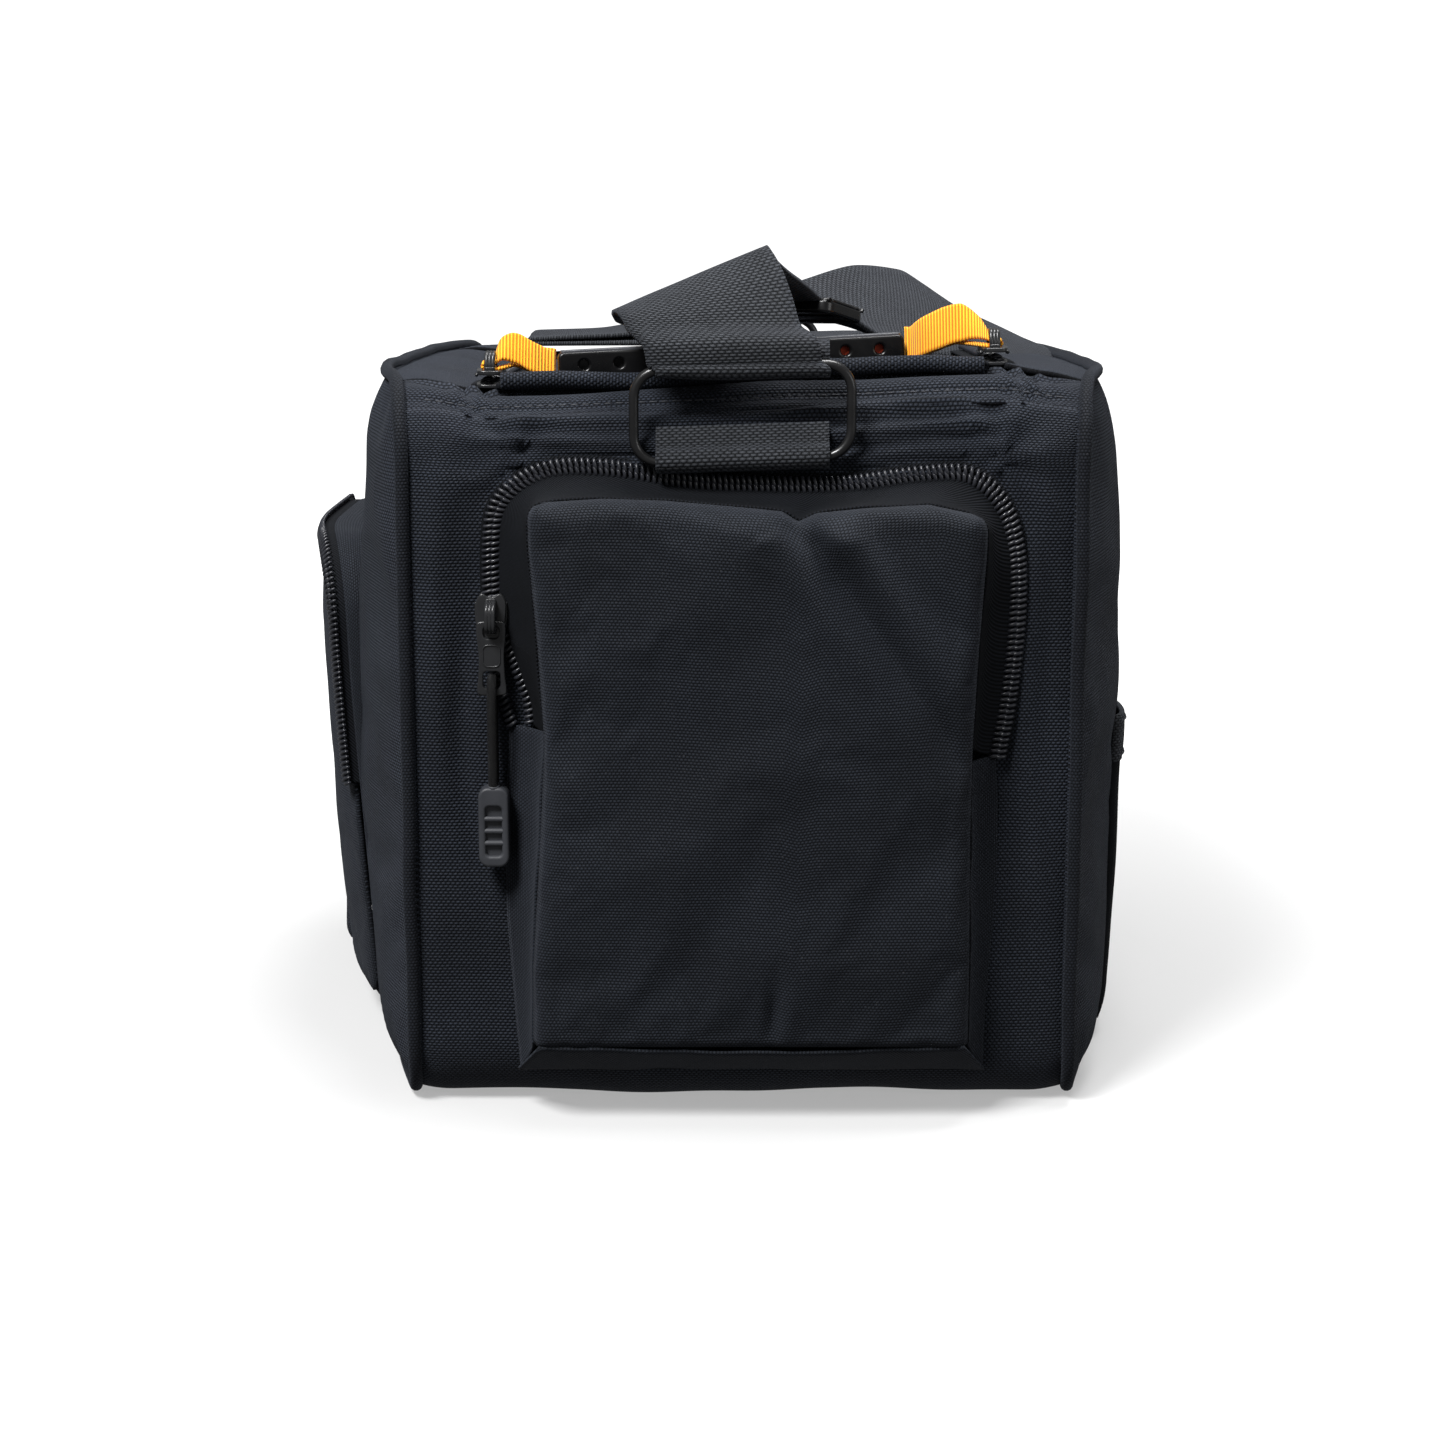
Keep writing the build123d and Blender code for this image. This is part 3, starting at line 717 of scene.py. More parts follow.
def repeatOn(name, path, shape, spacing, shift, outwards, material):
    mesh = bpy.data.meshes.new(name)
    mesh.from_pydata([tuple(p) for p in path], [(i, i + 1) for i in range(len(path) - 1)], [])
    piece = addObject(name, mesh)
    rule = piece.modifiers.new("repeat", "NODES")
    rule.node_group = pathTree
    setInput(rule, "Spacing", spacing)
    setInput(rule, "Start Shift", shift)
    setInput(rule, "Outwards", outwards)
    setInput(rule, "Shape", shape)
    setInput(rule, "Finish", material)
    settle(piece)
    piece.data.polygons.foreach_set("use_smooth", [True] * len(piece.data.polygons))
    return piece


patterns = []


def patternShape(name, path, radius, sides=6):
    shape = tube(name, np.array(path, float), radius, None, sides)
    shape.hide_render = True
    shape.hide_viewport = False
    patterns.append(shape)
    return shape


zipSettings = {"pitch": 0.0018, "wire": 0.00056, "reach": 0.0027, "rise": 0.0014}


# one turn of the coil, from its head on the centre line out over the tape
def toothShape(name, side):
    s = zipSettings
    reach = s["reach"] * side
    lean = 0.00045 * side
    path = [
        (-0.0002 * side, -lean * 0.8, s["rise"] * 0.25),
        (-0.00035 * side, -lean * 0.7, s["rise"] * 0.75),
        (0.0004 * side, -lean * 0.3, s["rise"]),
        (0.55 * reach, lean * 0.4, s["rise"] * 0.95),
        (0.88 * reach, lean * 0.9, s["rise"] * 0.7),
        (reach, lean, s["rise"] * 0.15),
    ]
    return patternShape(name, path, np.array([0.9, 1.15, 1.1, 1, 1, 0.9]) * s["wire"], 6)


toothLeft = toothShape("toothLeft", -1)
toothRight = toothShape("toothRight", 1)
stitchPath = [(0, -0.0012, -0.0001), (0, -0.0008, 0.00022), (0, 0.0008, 0.00022), (0, 0.0012, -0.0001)]
stitchShape = patternShape("stitch", stitchPath, 0.00022, 5)
print("repeat rules ready")

# body of the bag

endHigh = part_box("near_end_panel")[1]
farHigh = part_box("far_end_panel")[1]
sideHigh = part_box("right_side_panel")[1]
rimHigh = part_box("right_rim")[1]
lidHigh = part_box("lid_panel")[1]
bag = {
    "halfDepth": farHigh.y,
    "height": rimHigh.z,
    "seam": endHigh.z + 0.006,
    "endHalf": 0.1032,
    "bow": sideHigh.x - 0.1032,
    "edgeBow": 0.018,
    "corner": 0.022,
    "cloth": 0.0016,
    "mouthFar": lidHigh.y,
    "lean": 0.045,
    "fall": 0.0045,
}
straightUp = bag["height"] - 2 * bag["corner"]
straightTop = 2 * (bag["halfDepth"] - bag["corner"])
cornerArc = math.pi / 2 * bag["corner"]
seamAngle = math.asin((bag["seam"] - bag["height"] + bag["corner"]) / bag["corner"])
mark = {"nearTop": cornerArc + straightUp}
mark["nearSeam"] = mark["nearTop"] + seamAngle * bag["corner"]
mark["mouth"] = mark["nearTop"] + cornerArc
mark["deckEnd"] = mark["mouth"] + straightTop
mark["hinge"] = mark["deckEnd"] - (bag["halfDepth"] - bag["corner"] - bag["mouthFar"])
mark["farSeam"] = mark["deckEnd"] + cornerArc - seamAngle * bag["corner"]
mark["farLow"] = mark["deckEnd"] + 2 * cornerArc + straightUp
mark["total"] = mark["farLow"] + straightTop


# place and outward direction at a distance round the side view of the bag
def outlineAt(s):
    r, hd, h = bag["corner"], bag["halfDepth"], bag["height"]
    s = s % mark["total"]
    if s < cornerArc:
        a = s / r
        return -hd + r - r * math.sin(a), r - r * math.cos(a), -math.sin(a), -math.cos(a)
    if s < mark["nearTop"]:
        return -hd, r + s - cornerArc, -1.0, 0.0
    if s < mark["mouth"]:
        a = (s - mark["nearTop"]) / r
        return -hd + r - r * math.cos(a), h - r + r * math.sin(a), -math.cos(a), math.sin(a)
    if s < mark["deckEnd"]:
        return -hd + r + s - mark["mouth"], h, 0.0, 1.0
    if s < mark["deckEnd"] + cornerArc:
        a = (s - mark["deckEnd"]) / r
        return hd - r + r * math.sin(a), h - r + r * math.cos(a), math.sin(a), math.cos(a)
    if s < mark["deckEnd"] + cornerArc + straightUp:
        return hd, h - r - (s - mark["deckEnd"] - cornerArc), 1.0, 0.0
    if s < mark["farLow"]:
        a = (s - mark["deckEnd"] - cornerArc - straightUp) / r
        return hd - r + r * math.cos(a), r - r * math.sin(a), math.cos(a), -math.sin(a)
    return hd - r - (s - mark["farLow"]), 0.0, 0.0, -1.0


def halfWidth(y, z):
    plan = bag["endHalf"] + bag["bow"] * (1 - (y / (bag["halfDepth"] + 0.003)) ** 2)
    middle = bag["height"] / 2
    crown = 1 - ((z - middle) / middle) ** 2
    upright = bag["endHalf"] + bag["edgeBow"] + (bag["bow"] - bag["edgeBow"]) * crown
    k = 0.004
    over = max(z - bag["height"] + 0.018, 0) / 0.018
    under = max(0.02 - z, 0) / 0.02
    pull = 0.0028 * over * over + 0.0035 * under * under
    return -k * math.log(math.exp(-plan / k) + math.exp(-upright / k)) - pull


# the mouth leans a little, right edge high, and the top falls towards the far end
def lifted(x, y, z):
    share = min(max((z - 0.19) / 0.035, 0), 1)
    middle = min(max((0.104 - abs(x)) / 0.024, 0), 1)
    return z + bag["lean"] * x * (share * middle) ** 2 - bag["fall"] * share * max(0, (y + 0.11) / 0.22)


def ridge(value, centre, width):
    return math.exp(-((value - centre) / width) ** 2)


# a strip of the band between the piped seams
def bandSheet(name, s0, s1, x0, x1, rows, cols, swell, detail):
    points = np.zeros((rows, cols, 3))
    for r in range(rows):
        s = s0 + (s1 - s0) * r / (rows - 1)
        y, z, ny, nz = outlineAt(s)
        half = halfWidth(y, z) - 0.001
        left = -half if x0 is None else x0
        right = half if x1 is None else x1
        for c in range(cols):
            f = c / (cols - 1)
            x = left + (right - left) * f
            edge = min(1.0, (half - abs(x)) / 0.012)
            out = swell * math.sin(math.pi * f) * math.sin(math.pi * r / (rows - 1)) ** 0.6
            out += detail(x, y, z, s) * edge
            out -= 0.0016 * (1 - edge) ** 2
            px, py, pz = x, y + ny * out, z + nz * out
            points[r, c] = (px, py, lifted(px, py, pz))
    return points


def nearDetail(x, y, z, s):
    spot = (x, z, 0.3)
    out = 0.0022 * smoothNoise(spot, 14, 3) + 0.001 * smoothNoise(spot, 38, 9)
    # bunched folds that run across behind the ring
    level = z - 0.03 * x * x / 0.006 * 0.1 - 0.02 * x
    bunch = ridge(level, 0.21, 0.0115) * min(1, max(0, (0.086 - abs(x)) / 0.02))
    wave = 1 - 2 * abs(math.sin((level + 0.0018 * smoothNoise(spot, 22, 5)) * math.pi / 0.0068))
    out += 0.0026 * bunch * wave
    # creases pulled in to the pocket's corners
    for cx, side in ((-0.069, -1), (0.077, 1)):
        d = math.hypot((x - cx), (z - 0.205))
        turn = math.atan2(z - 0.205, x - cx)
        out += 0.0016 * math.exp(-d / 0.018) * math.sin(turn * 6 + side)
    # slack drag lines beside the pocket
    out += 0.0022 * ridge(x, -0.09 + 0.005 * math.sin(z * 31), 0.005) * ridge(z, 0.16, 0.05)
    out -= 0.002 * ridge(x, -0.083 + 0.004 * math.sin(z * 40), 0.004) * ridge(z, 0.125, 0.045)
    out += 0.0024 * ridge(x, 0.092 + 0.005 * math.sin(z * 27 + 1), 0.0045) * ridge(z, 0.13, 0.07)
    out -= 0.0024 * ridge(x + 0.35 * (z - 0.19), 0.088, 0.004) * ridge(z, 0.19, 0.014)
    out += 0.0024 * ridge(x + 0.4 * (z - 0.19), 0.094, 0.0045) * ridge(z, 0.19, 0.016)
    return out


def plainDetail(seed):
    def detail(x, y, z, s):
        spot = (x, s, 0.1 * seed)
        return 0.002 * smoothNoise(spot, 12, seed) + 0.0009 * smoothNoise(spot, 34, seed + 4)
    return detail


def rimDetail(x, y, z, s):
    spot = (x, s, 0.7)
    out = 0.0014 * smoothNoise(spot, 26, 2)
    if s < mark["mouth"]:
        dip = max(0, 1 - (mark["mouth"] - s) / 0.009)  # tucks under the lid's hem
        out -= 0.0026 * dip + 0.0016 * ridge(s, mark["nearSeam"] + 0.004, 0.002)
    for cx in (-0.083, 0.086):
        out += 0.0016 * ridge(x, cx, 0.006) * math.sin(x * 900 + s * 300)
    return out


def makeBand(name, node, s0, s1, x0, x1, rows, cols, swell, detail, material, pressure=None, cap=0.006):
    points = bandSheet(name, s0, s1, x0, x1, rows, cols, swell, detail)
    piece = gridSheet(name, points, finish[material])
    if pressure:
        billow(piece, edgeOf(rows, cols), pressure, 0.012, cap)
    thicken(piece, bag["cloth"])
    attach(piece, "bag")
    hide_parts(node)
    return piece


def makeBody():
    m = mark
    makeBand("nearEndPanel", "near_end_panel", 0, m["nearSeam"], None, None,
             104, 100, 0.003, nearDetail, "oxford")
    makeBand("nearRim", "near_rim", m["nearSeam"] - 0.001, m["mouth"], None, None,
             18, 110, 0.0, rimDetail, "oxford")
    makeBand("farEndPanel", "far_end_panel", m["farSeam"], m["farLow"], None, None,
             80, 80, 0.003, plainDetail(5), "oxford", 3)
    makeBand("farDeck", "far_deck", m["hinge"] + 0.0006, m["farSeam"] + 0.001, None, None,
             36, 80, 0.001, plainDetail(7), "oxford")
    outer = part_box("lid_zip_right_outer")[1].x
    makeBand("rightRim", "right_rim", m["mouth"], m["hinge"], outer, None,
             80, 24, 0.0012, plainDetail(8), "oxford")
    makeBand("leftRim", "left_rim", m["mouth"], m["hinge"], None, -outer,
             80, 24, 0.0012, plainDetail(9), "oxford")
    makeBand("basePanel", "bottom_panel", m["farLow"], m["total"], None, None,
             60, 60, 0.0, lambda x, y, z, s: 0.0, "piping")
    print("band panels")


def sideSheet(side, rows, cols):
    points = np.zeros((rows, cols, 3))
    r, hd, h = bag["corner"], bag["halfDepth"], bag["height"]
    for i in range(rows):
        t = i / (rows - 1)
        z = h * (0.5 - 0.5 * math.cos(math.pi * t)) * 0.35 + h * t * 0.65
        rise = max(r - z, z - (h - r), 0)
        limit = hd - r + math.sqrt(max(r * r - rise * rise, 0))
        for k in range(cols):
            g = -1 + 2 * k / (cols - 1)
            y = g * limit
            spot = (y, z, 0.5 * side)
            edge = min(1.0, min(limit - abs(y), z, h - z) / 0.014)
            x = halfWidth(y, z)
            x += edge * (0.0026 * smoothNoise(spot, 11, 6 + side) + 0.0014 * smoothNoise(spot, 30, 12))
            x -= 0.0022 * (1 - edge) ** 2
            points[i, k] = (side * x, y, lifted(side * x, y, z))
    if side < 0:
        points = points[:, ::-1]
    return points


def makeSides():
    for side, name in ((-1, "left"), (1, "right")):
        rows, cols = 84, 100
        piece = gridSheet(name + "SidePanel", sideSheet(side, rows, cols), finish["oxford"])
        billow(piece, edgeOf(rows, cols), 2.5, 0.01, 0.004)
        thicken(piece, bag["cloth"])
        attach(piece, "bag")
        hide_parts(name + "_side_panel")
        path = []
        for i in range(360):
            s = mark["total"] * i / 360
            y, z, ny, nz = outlineAt(s)
            wobble = 0.0006 * noise.noise(Vector((s * 30, side * 4, 0)))
            out = 0.0004 + wobble
            x = side * (halfWidth(y, z) - 0.0012 + wobble)
            pz = max(z + nz * out, 0.0021)
            path.append((x, y + ny * out, lifted(x, y, pz)))
        path = np.array(path)
        for _ in range(6):
            path = 0.25 * np.roll(path, 1, 0) + 0.5 * path + 0.25 * np.roll(path, -1, 0)
        path[:, 2] = np.maximum(path[:, 2], 0.0021)
        cord = tube(name + "Piping", path, 0.0021, finish["piping"], 12, True)
        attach(cord, "bag")
        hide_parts(name + "_piping")
    print("side panels and piping")


makeBody()
makeSides()

# end pocket

pouchLow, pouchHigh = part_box("end_pocket_pouch")
flapLow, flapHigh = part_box("end_pocket_front")
zipLow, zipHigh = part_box("end_pocket_zip_outer")
pocketX = (pouchLow.x + pouchHigh.x) / 2
panelY = zipHigh.y
hingeZ = (pouchHigh.z + flapLow.z) / 2
endPocket = {
    # the zip's centre line from the low end of the left leg: x from the pocket's middle, height
    "zip": [(-0.0725, 0.1245), (-0.0755, 0.135), (-0.0785, 0.155), (-0.0788, 0.18), (-0.0755, 0.193),
            (-0.063, 0.2015), (-0.045, 0.2025), (-0.022, 0.199), (0.0, 0.1975), (0.028, 0.1975),
            (0.052, 0.2005), (0.066, 0.2), (0.0755, 0.191), (0.08, 0.176), (0.0803, 0.155),
            (0.0785, 0.134), (0.0752, 0.114)],
    # the same from the slider down, for the inner half where the zip has come open
    "openLow": [(-0.0688, 0.1242), (-0.0692, 0.131), (-0.0722, 0.14), (-0.0770, 0.153)],
    # edges of the raised front: height and x on its left and right, then x and height along its top
    "left": [(0.026, -0.0675), (0.05, -0.0672), (0.09, -0.0645), (0.12, -0.0628), (0.15, -0.0645),
             (0.178, -0.0668), (0.196, -0.0672)],
    "right": [(0.026, 0.0668), (0.05, 0.0668), (0.09, 0.0664), (0.12, 0.0666), (0.15, 0.068),
              (0.178, 0.0698), (0.196, 0.0702)],
    "top": [(-0.067, 0.1938), (-0.05, 0.1948), (-0.03, 0.1942), (0.0, 0.1918), (0.008, 0.191),
            (0.013, 0.188), (0.019, 0.1905), (0.035, 0.192), (0.055, 0.193), (0.0705, 0.19)],
    "depth": 0.021,
    "half": 0.0735,
    "lowSeam": 0.0262,
    "cloth": 0.0014,
}


def pocketPath(points, depth, count):
    flat = smoothPath(points, count)
    return np.column_stack([flat[:, 0] + pocketX, np.full(count, panelY - depth), flat[:, 1]])


def frontDetail(x, z):
    u = x - pocketX
    spot = (u, z, 1.5)
    out = 0.0018 * smoothNoise(spot, 16, 21) + 0.0008 * smoothNoise(spot, 45, 22)
    # pinch at the top and the long crease that falls away from it
    out -= 0.005 * ridge(u, 0.013, 0.0055) * ridge(z, 0.194, 0.009)
    beside = 0.0022 * ridge(u, 0.002, 0.008) * ridge(z, 0.186, 0.01)
    out += 0.003 * ridge(u, 0.024, 0.008) * ridge(z, 0.184, 0.01) + beside
    along = (u - 0.012) * 0.55 + (0.19 - z) * 0.83
    off = (u - 0.012) * 0.83 - (0.19 - z) * 0.55
    if along > 0:
        fade = math.exp(-((along - 0.018) / 0.05) ** 2)
        out -= 0.0042 * ridge(off, 0.001, 0.0036) * fade
        out += 0.0040 * ridge(off, 0.0105, 0.0060) * fade
        out += 0.0018 * ridge(off, -0.009, 0.006) * fade
    # short crease above the bottom seam
    out -= 0.0022 * ridge(u, 0.006 + 0.05 * (z - 0.03), 0.0022) * ridge(z, 0.036, 0.01)
    out += 0.0012 * ridge(u, 0.011 + 0.05 * (z - 0.03), 0.003) * ridge(z, 0.036, 0.01)
    # the zip ends pull the sides in
    out -= 0.0014 * ridge(z, hingeZ + 0.004, 0.01) * (ridge(u, -0.058, 0.009) + ridge(u, 0.06, 0.009))
    return out


# rows of the front run from its left edge to its right edge at one height
def frontSheet(rows, cols):
    leftEdge, rightEdge, topEdge = (np.array(endPocket[name]) for name in ("left", "right", "top"))
    points = np.zeros((rows, cols, 3))
    low = endPocket["lowSeam"]
    for r in range(rows):
        t = r / (rows - 1)
        for c in range(cols):
            f = c / (cols - 1)
            g = 2 * f - 1
            topZ = np.interp(g * 0.069, topEdge[:, 0], topEdge[:, 1])
            z = low + (topZ - low) * t
            xl = np.interp(z, leftEdge[:, 0], leftEdge[:, 1])
            xr = np.interp(z, rightEdge[:, 0], rightEdge[:, 1])
            # round the two top corners
            over = max(z - (topZ - 0.006), 0) / 0.006
            pull = 0.005 * (1 - math.sqrt(max(1 - over * over, 0)))
            x = (xl + pull) * (1 - f) + (xr - pull) * f
            side = min(f, 1 - f) * (xr - xl)
            brim = min(side, (topZ - z) if t > 0.5 else (z - low) * 1.6 + 0.002)
            roll = 0.0065
            drop = 0.0
            if brim < roll:
                k = 1 - brim / roll
                drop = 0.0062 * (1 - math.sqrt(max(1 - k * k, 0)))
            crown = 0.0018 * math.sin(math.pi * f) * math.sin(math.pi * min(max(t, 0.02), 0.98))
            out = endPocket["depth"] - drop + crown + frontDetail(x + pocketX, z) * min(1, brim / 0.008)
            points[r, c] = (x + pocketX, panelY - out, z)
    return points


def makeEndPocketFront():
    rows, cols = 118, 100
    points = frontSheet(rows, cols)
    piece = gridSheet("endPocketFront", points, finish["fine"])
    billow(piece, edgeOf(rows, cols), 3.0, 0.012, 0.004)
    thicken(piece, endPocket["cloth"])
    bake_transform(piece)
    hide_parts("end_pocket_pouch", "end_pocket_front")
    return points


# side walls of the pocket between the panel and the raised front
def gussetSheet(name, base, rim, material, body, sag=0.002, rows=14):
    count = len(base)
    points = np.zeros((rows, count, 3))
    for r in range(rows):
        t = r / (rows - 1)
        for i in range(count):
            p = base[i] * (1 - t) + rim[i] * t
            ripple = 0.0006 * noise.noise(Vector(p) * 60)
            inwards = np.array([pocketX - p[0], 0, 0.11 - p[2]])
            inwards /= np.linalg.norm(inwards)
            points[r, i] = p + inwards * (sag * math.sin(math.pi * t) + ripple)
    piece = gridSheet(name, points, finish[material])
    thicken(piece, 0.0009, 0.0)
    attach(piece, body)
    return piece


def makeEndPocketWalls(points):
    heights = points[:, 0, 2]
    split = int(np.searchsorted(heights, hingeZ))
    rimPath = np.vstack([points[split:, 0], points[-1, 1:-1], points[split:, -1][::-1]])
    count = 220
    rim = smoothPath(rimPath[:: max(1, len(rimPath) // 60)], count)
    rim[:, 1] += 0.0006
    zipLine = pocketPath(endPocket["zip"], 0.0016, count)
    inner = zipLine.copy()
    step = np.gradient(zipLine, axis=0)
    step /= np.linalg.norm(step, axis=1, keepdims=True)
    normal = np.column_stack([step[:, 2], np.zeros(count), -step[:, 0]])
    inner = zipLine + normal * 0.0014
    openLow = pocketPath(endPocket["openLow"], 0.003, 60)
    low = zipLine[:, 2] < 0.153
    for i in range(count):
        if low[i] and zipLine[i, 0] < pocketX:
            k = int(np.argmin(np.abs(openLow[:, 2] - zipLine[i, 2])))
            inner[i] = openLow[k] + np.array([0.0014, 0, 0])
    upper = gussetSheet("endPocketTape", inner, rim, "tape", "end_pocket_flap")
    # below the zip's ends the walls are the pocket's own cloth and stay with the bag
    for side, name in ((-1, "Left"), (1, "Right")):
        heightsLow = np.linspace(0.012, hingeZ + (0.006 if side < 0 else -0.004), 60)
        column = points[:split + 12, 0] if side < 0 else points[:split + 12, -1]
        outer = np.array([
            (pocketX + side * (endPocket["half"] + 0.0025 * math.sin((z - 0.03) * 30)), panelY - 0.0006, z)
            for z in heightsLow
        ])
        edge = np.column_stack([np.interp(heightsLow, column[:, 2], column[:, k]) for k in range(3)])
        wall = gussetSheet("endPocketWall" + name, outer, edge, "fine", "bag", 0.0025, 12)
    half = endPocket["half"]
    across = np.linspace(-half, half, 60)
    lowEdge = np.column_stack(
        [across * 0.89 + pocketX, np.full(60, panelY - 0.0195), np.full(60, endPocket["lowSeam"])])
    lowEdge[:, 2] -= 0.0015 * np.cos(across / half * math.pi / 2)
    base = np.column_stack([across + pocketX, np.full(60, panelY - 0.0004), np.full(60, 0.013)])
    floorWall = gussetSheet("endPocketFloor", base, lowEdge, "fine", "bag", -0.001, 10)
    return zipLine, normal, openLow


def tapeStrip(name, path, normal, near, far, lift, body, out):
    rows = 5
    points = np.zeros((rows, len(path), 3))
    for r in range(rows):
        t = r / (rows - 1)
        points[r] = path + normal * (near + (far - near) * t) + np.array(out) * lift
    piece = gridSheet(name, points, finish["tape"])
    thicken(piece, 0.0006, 0.0)
    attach(piece, body)
    return piece


def makeEndZip(zipLine, normal, openLow):
    out = (0.0, -1.0, 0.0)
    pitch = zipSettings["pitch"]
    outer = repeatOn("endZipOuterTeeth", zipLine, toothLeft, pitch, 0.0, out, finish["coil"])
    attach(outer, "bag")
    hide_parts("end_pocket_zip_outer")
    closed = zipLine[[i for i in range(len(zipLine)) if zipLine[i, 2] > 0.153 or zipLine[i, 0] > pocketX]]
    innerLine = np.vstack([openLow[:-1], closed])
    inner = repeatOn("endZipInnerTeeth", innerLine, toothRight, pitch, pitch / 2, out, finish["coil"])
    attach(inner, "end_pocket_flap")
    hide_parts("end_pocket_zip_inner")
    tapeStrip("endZipOuterTape", zipLine, normal, -0.0036, -0.0004, -0.0008, "bag", out)
    print("end pocket zip")


frontPoints = makeEndPocketFront()
zipLine, zipNormal, openLow = makeEndPocketWalls(frontPoints)
makeEndZip(zipLine, zipNormal, openLow)
print("end pocket")

# lid, mouth zips and pull bar

lid = {"nearY": -0.1256, "zipNear": -0.128, "zipLift": 0.0012, "sag": 0.004}


def deckPoint(x, y, up):
    return (x, y, lifted(x, y, bag["height"] + up))


def lidDetail(x, y):
    spot = (x, y, 2.2)
    out = 0.0024 * smoothNoise(spot, 10, 31) + 0.0012 * smoothNoise(spot, 30, 32)
    inside = min(1, (0.0755 - abs(x)) / 0.02, (bag["mouthFar"] - y) / 0.02)
    return out * max(inside, 0) - lid["sag"] * math.cos(x / 0.15 * math.pi) * 0.3


def makeLid():
    rows, cols = 96, 84
    half = lidHigh.x + 0.0006
    start = lid["nearY"] - 0.0045
    points = np.zeros((rows, cols, 3))
    for r in range(rows):
        t = r / (rows - 1)
        y = start + (bag["mouthFar"] - start) * t
        for c in range(cols):
            x = -half + 2 * half * c / (cols - 1)
            overlap = 0.003 * max(0, 1 - (y - start) / 0.012)
            points[r, c] = deckPoint(x, y, lidDetail(x, y) - 0.0012 + overlap)
    piece = gridSheet("lid", points, finish["oxford"])
    billow(piece, edgeOf(rows, cols), 2.0, 0.012, 0.004)
    thicken(piece, bag["cloth"])
    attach(piece, "lid")
    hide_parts("lid_panel")
    path = []
    for i in range(140):
        x = -0.074 + 0.148 * i / 139
        dip = 0.0007 * noise.noise(Vector((x * 45, 1, 0))) + 0.0006 * math.sin(x * 60)
        path.append(deckPoint(x, lid["nearY"] - 0.0052 + dip, 0.0016 + 1.4 * dip))
    hem = tube("lidHem", np.array(path), 0.0027, finish["oxford"], 16)
    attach(hem, "lid")
    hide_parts("lid_hem")
    sides = ((-1, "Left", toothRight, toothLeft), (1, "Right", toothLeft, toothRight))
    for side, name, inner, outer in sides:
        line = []
        for i in range(120):
            y = bag["mouthFar"] - (bag["mouthFar"] - lid["zipNear"]) * i / 119
            dive = max(0, -0.118 - y)
            lift = lid["zipLift"] - 1.1 * dive * dive / 0.012
            line.append(deckPoint(side * (0.078 + 0.25 * dive), y + 0.3 * dive, lift))
        line = np.array(line)[::-1]
        up = (0.0, 0.0, 1.0)
        pitch = zipSettings["pitch"]
        teethIn = repeatOn("lidZipInner" + name, line[8:], inner, pitch, 0.0008, up, finish["coil"])
        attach(teethIn, "lid")
        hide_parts("lid_zip_%s_inner" % name.lower())
        teethOut = repeatOn("lidZipOuter" + name, line, outer, zipSettings["pitch"], 0.0, up, finish["coil"])
        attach(teethOut, "bag")
        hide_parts("lid_zip_%s_outer" % name.lower())
        across = np.tile((float(side), 0.0, 0.0), (len(line), 1))
        tapeStrip("lidTapeInner" + name, line[8:], across[8:], -0.0065, -0.0003, -0.0007, "lid", up)
        tapeStrip("lidTapeOuter" + name, line, across, 0.0003, 0.0062, -0.0007, "bag", up)
    print("lid and its zips")


# frame of a slider: x across the chain, y along it, z outwards
def axes(origin, across, along):
    x = Vector(across).normalized()
    y = Vector(along).normalized()
    z = x.cross(y).normalized()
    y = z.cross(x)
    place = Matrix.Identity(4)
    for row in range(3):
        place[row][0], place[row][1], place[row][2], place[row][3] = x[row], y[row], z[row], origin[row]
    return place


sliderSettings = {"width": 0.009, "length": 0.014, "bailHalf": 0.0043, "bailHigh": 0.0066}


def transformed(path, place):
    return np.array([tuple(place @ Vector(p)) for p in path])


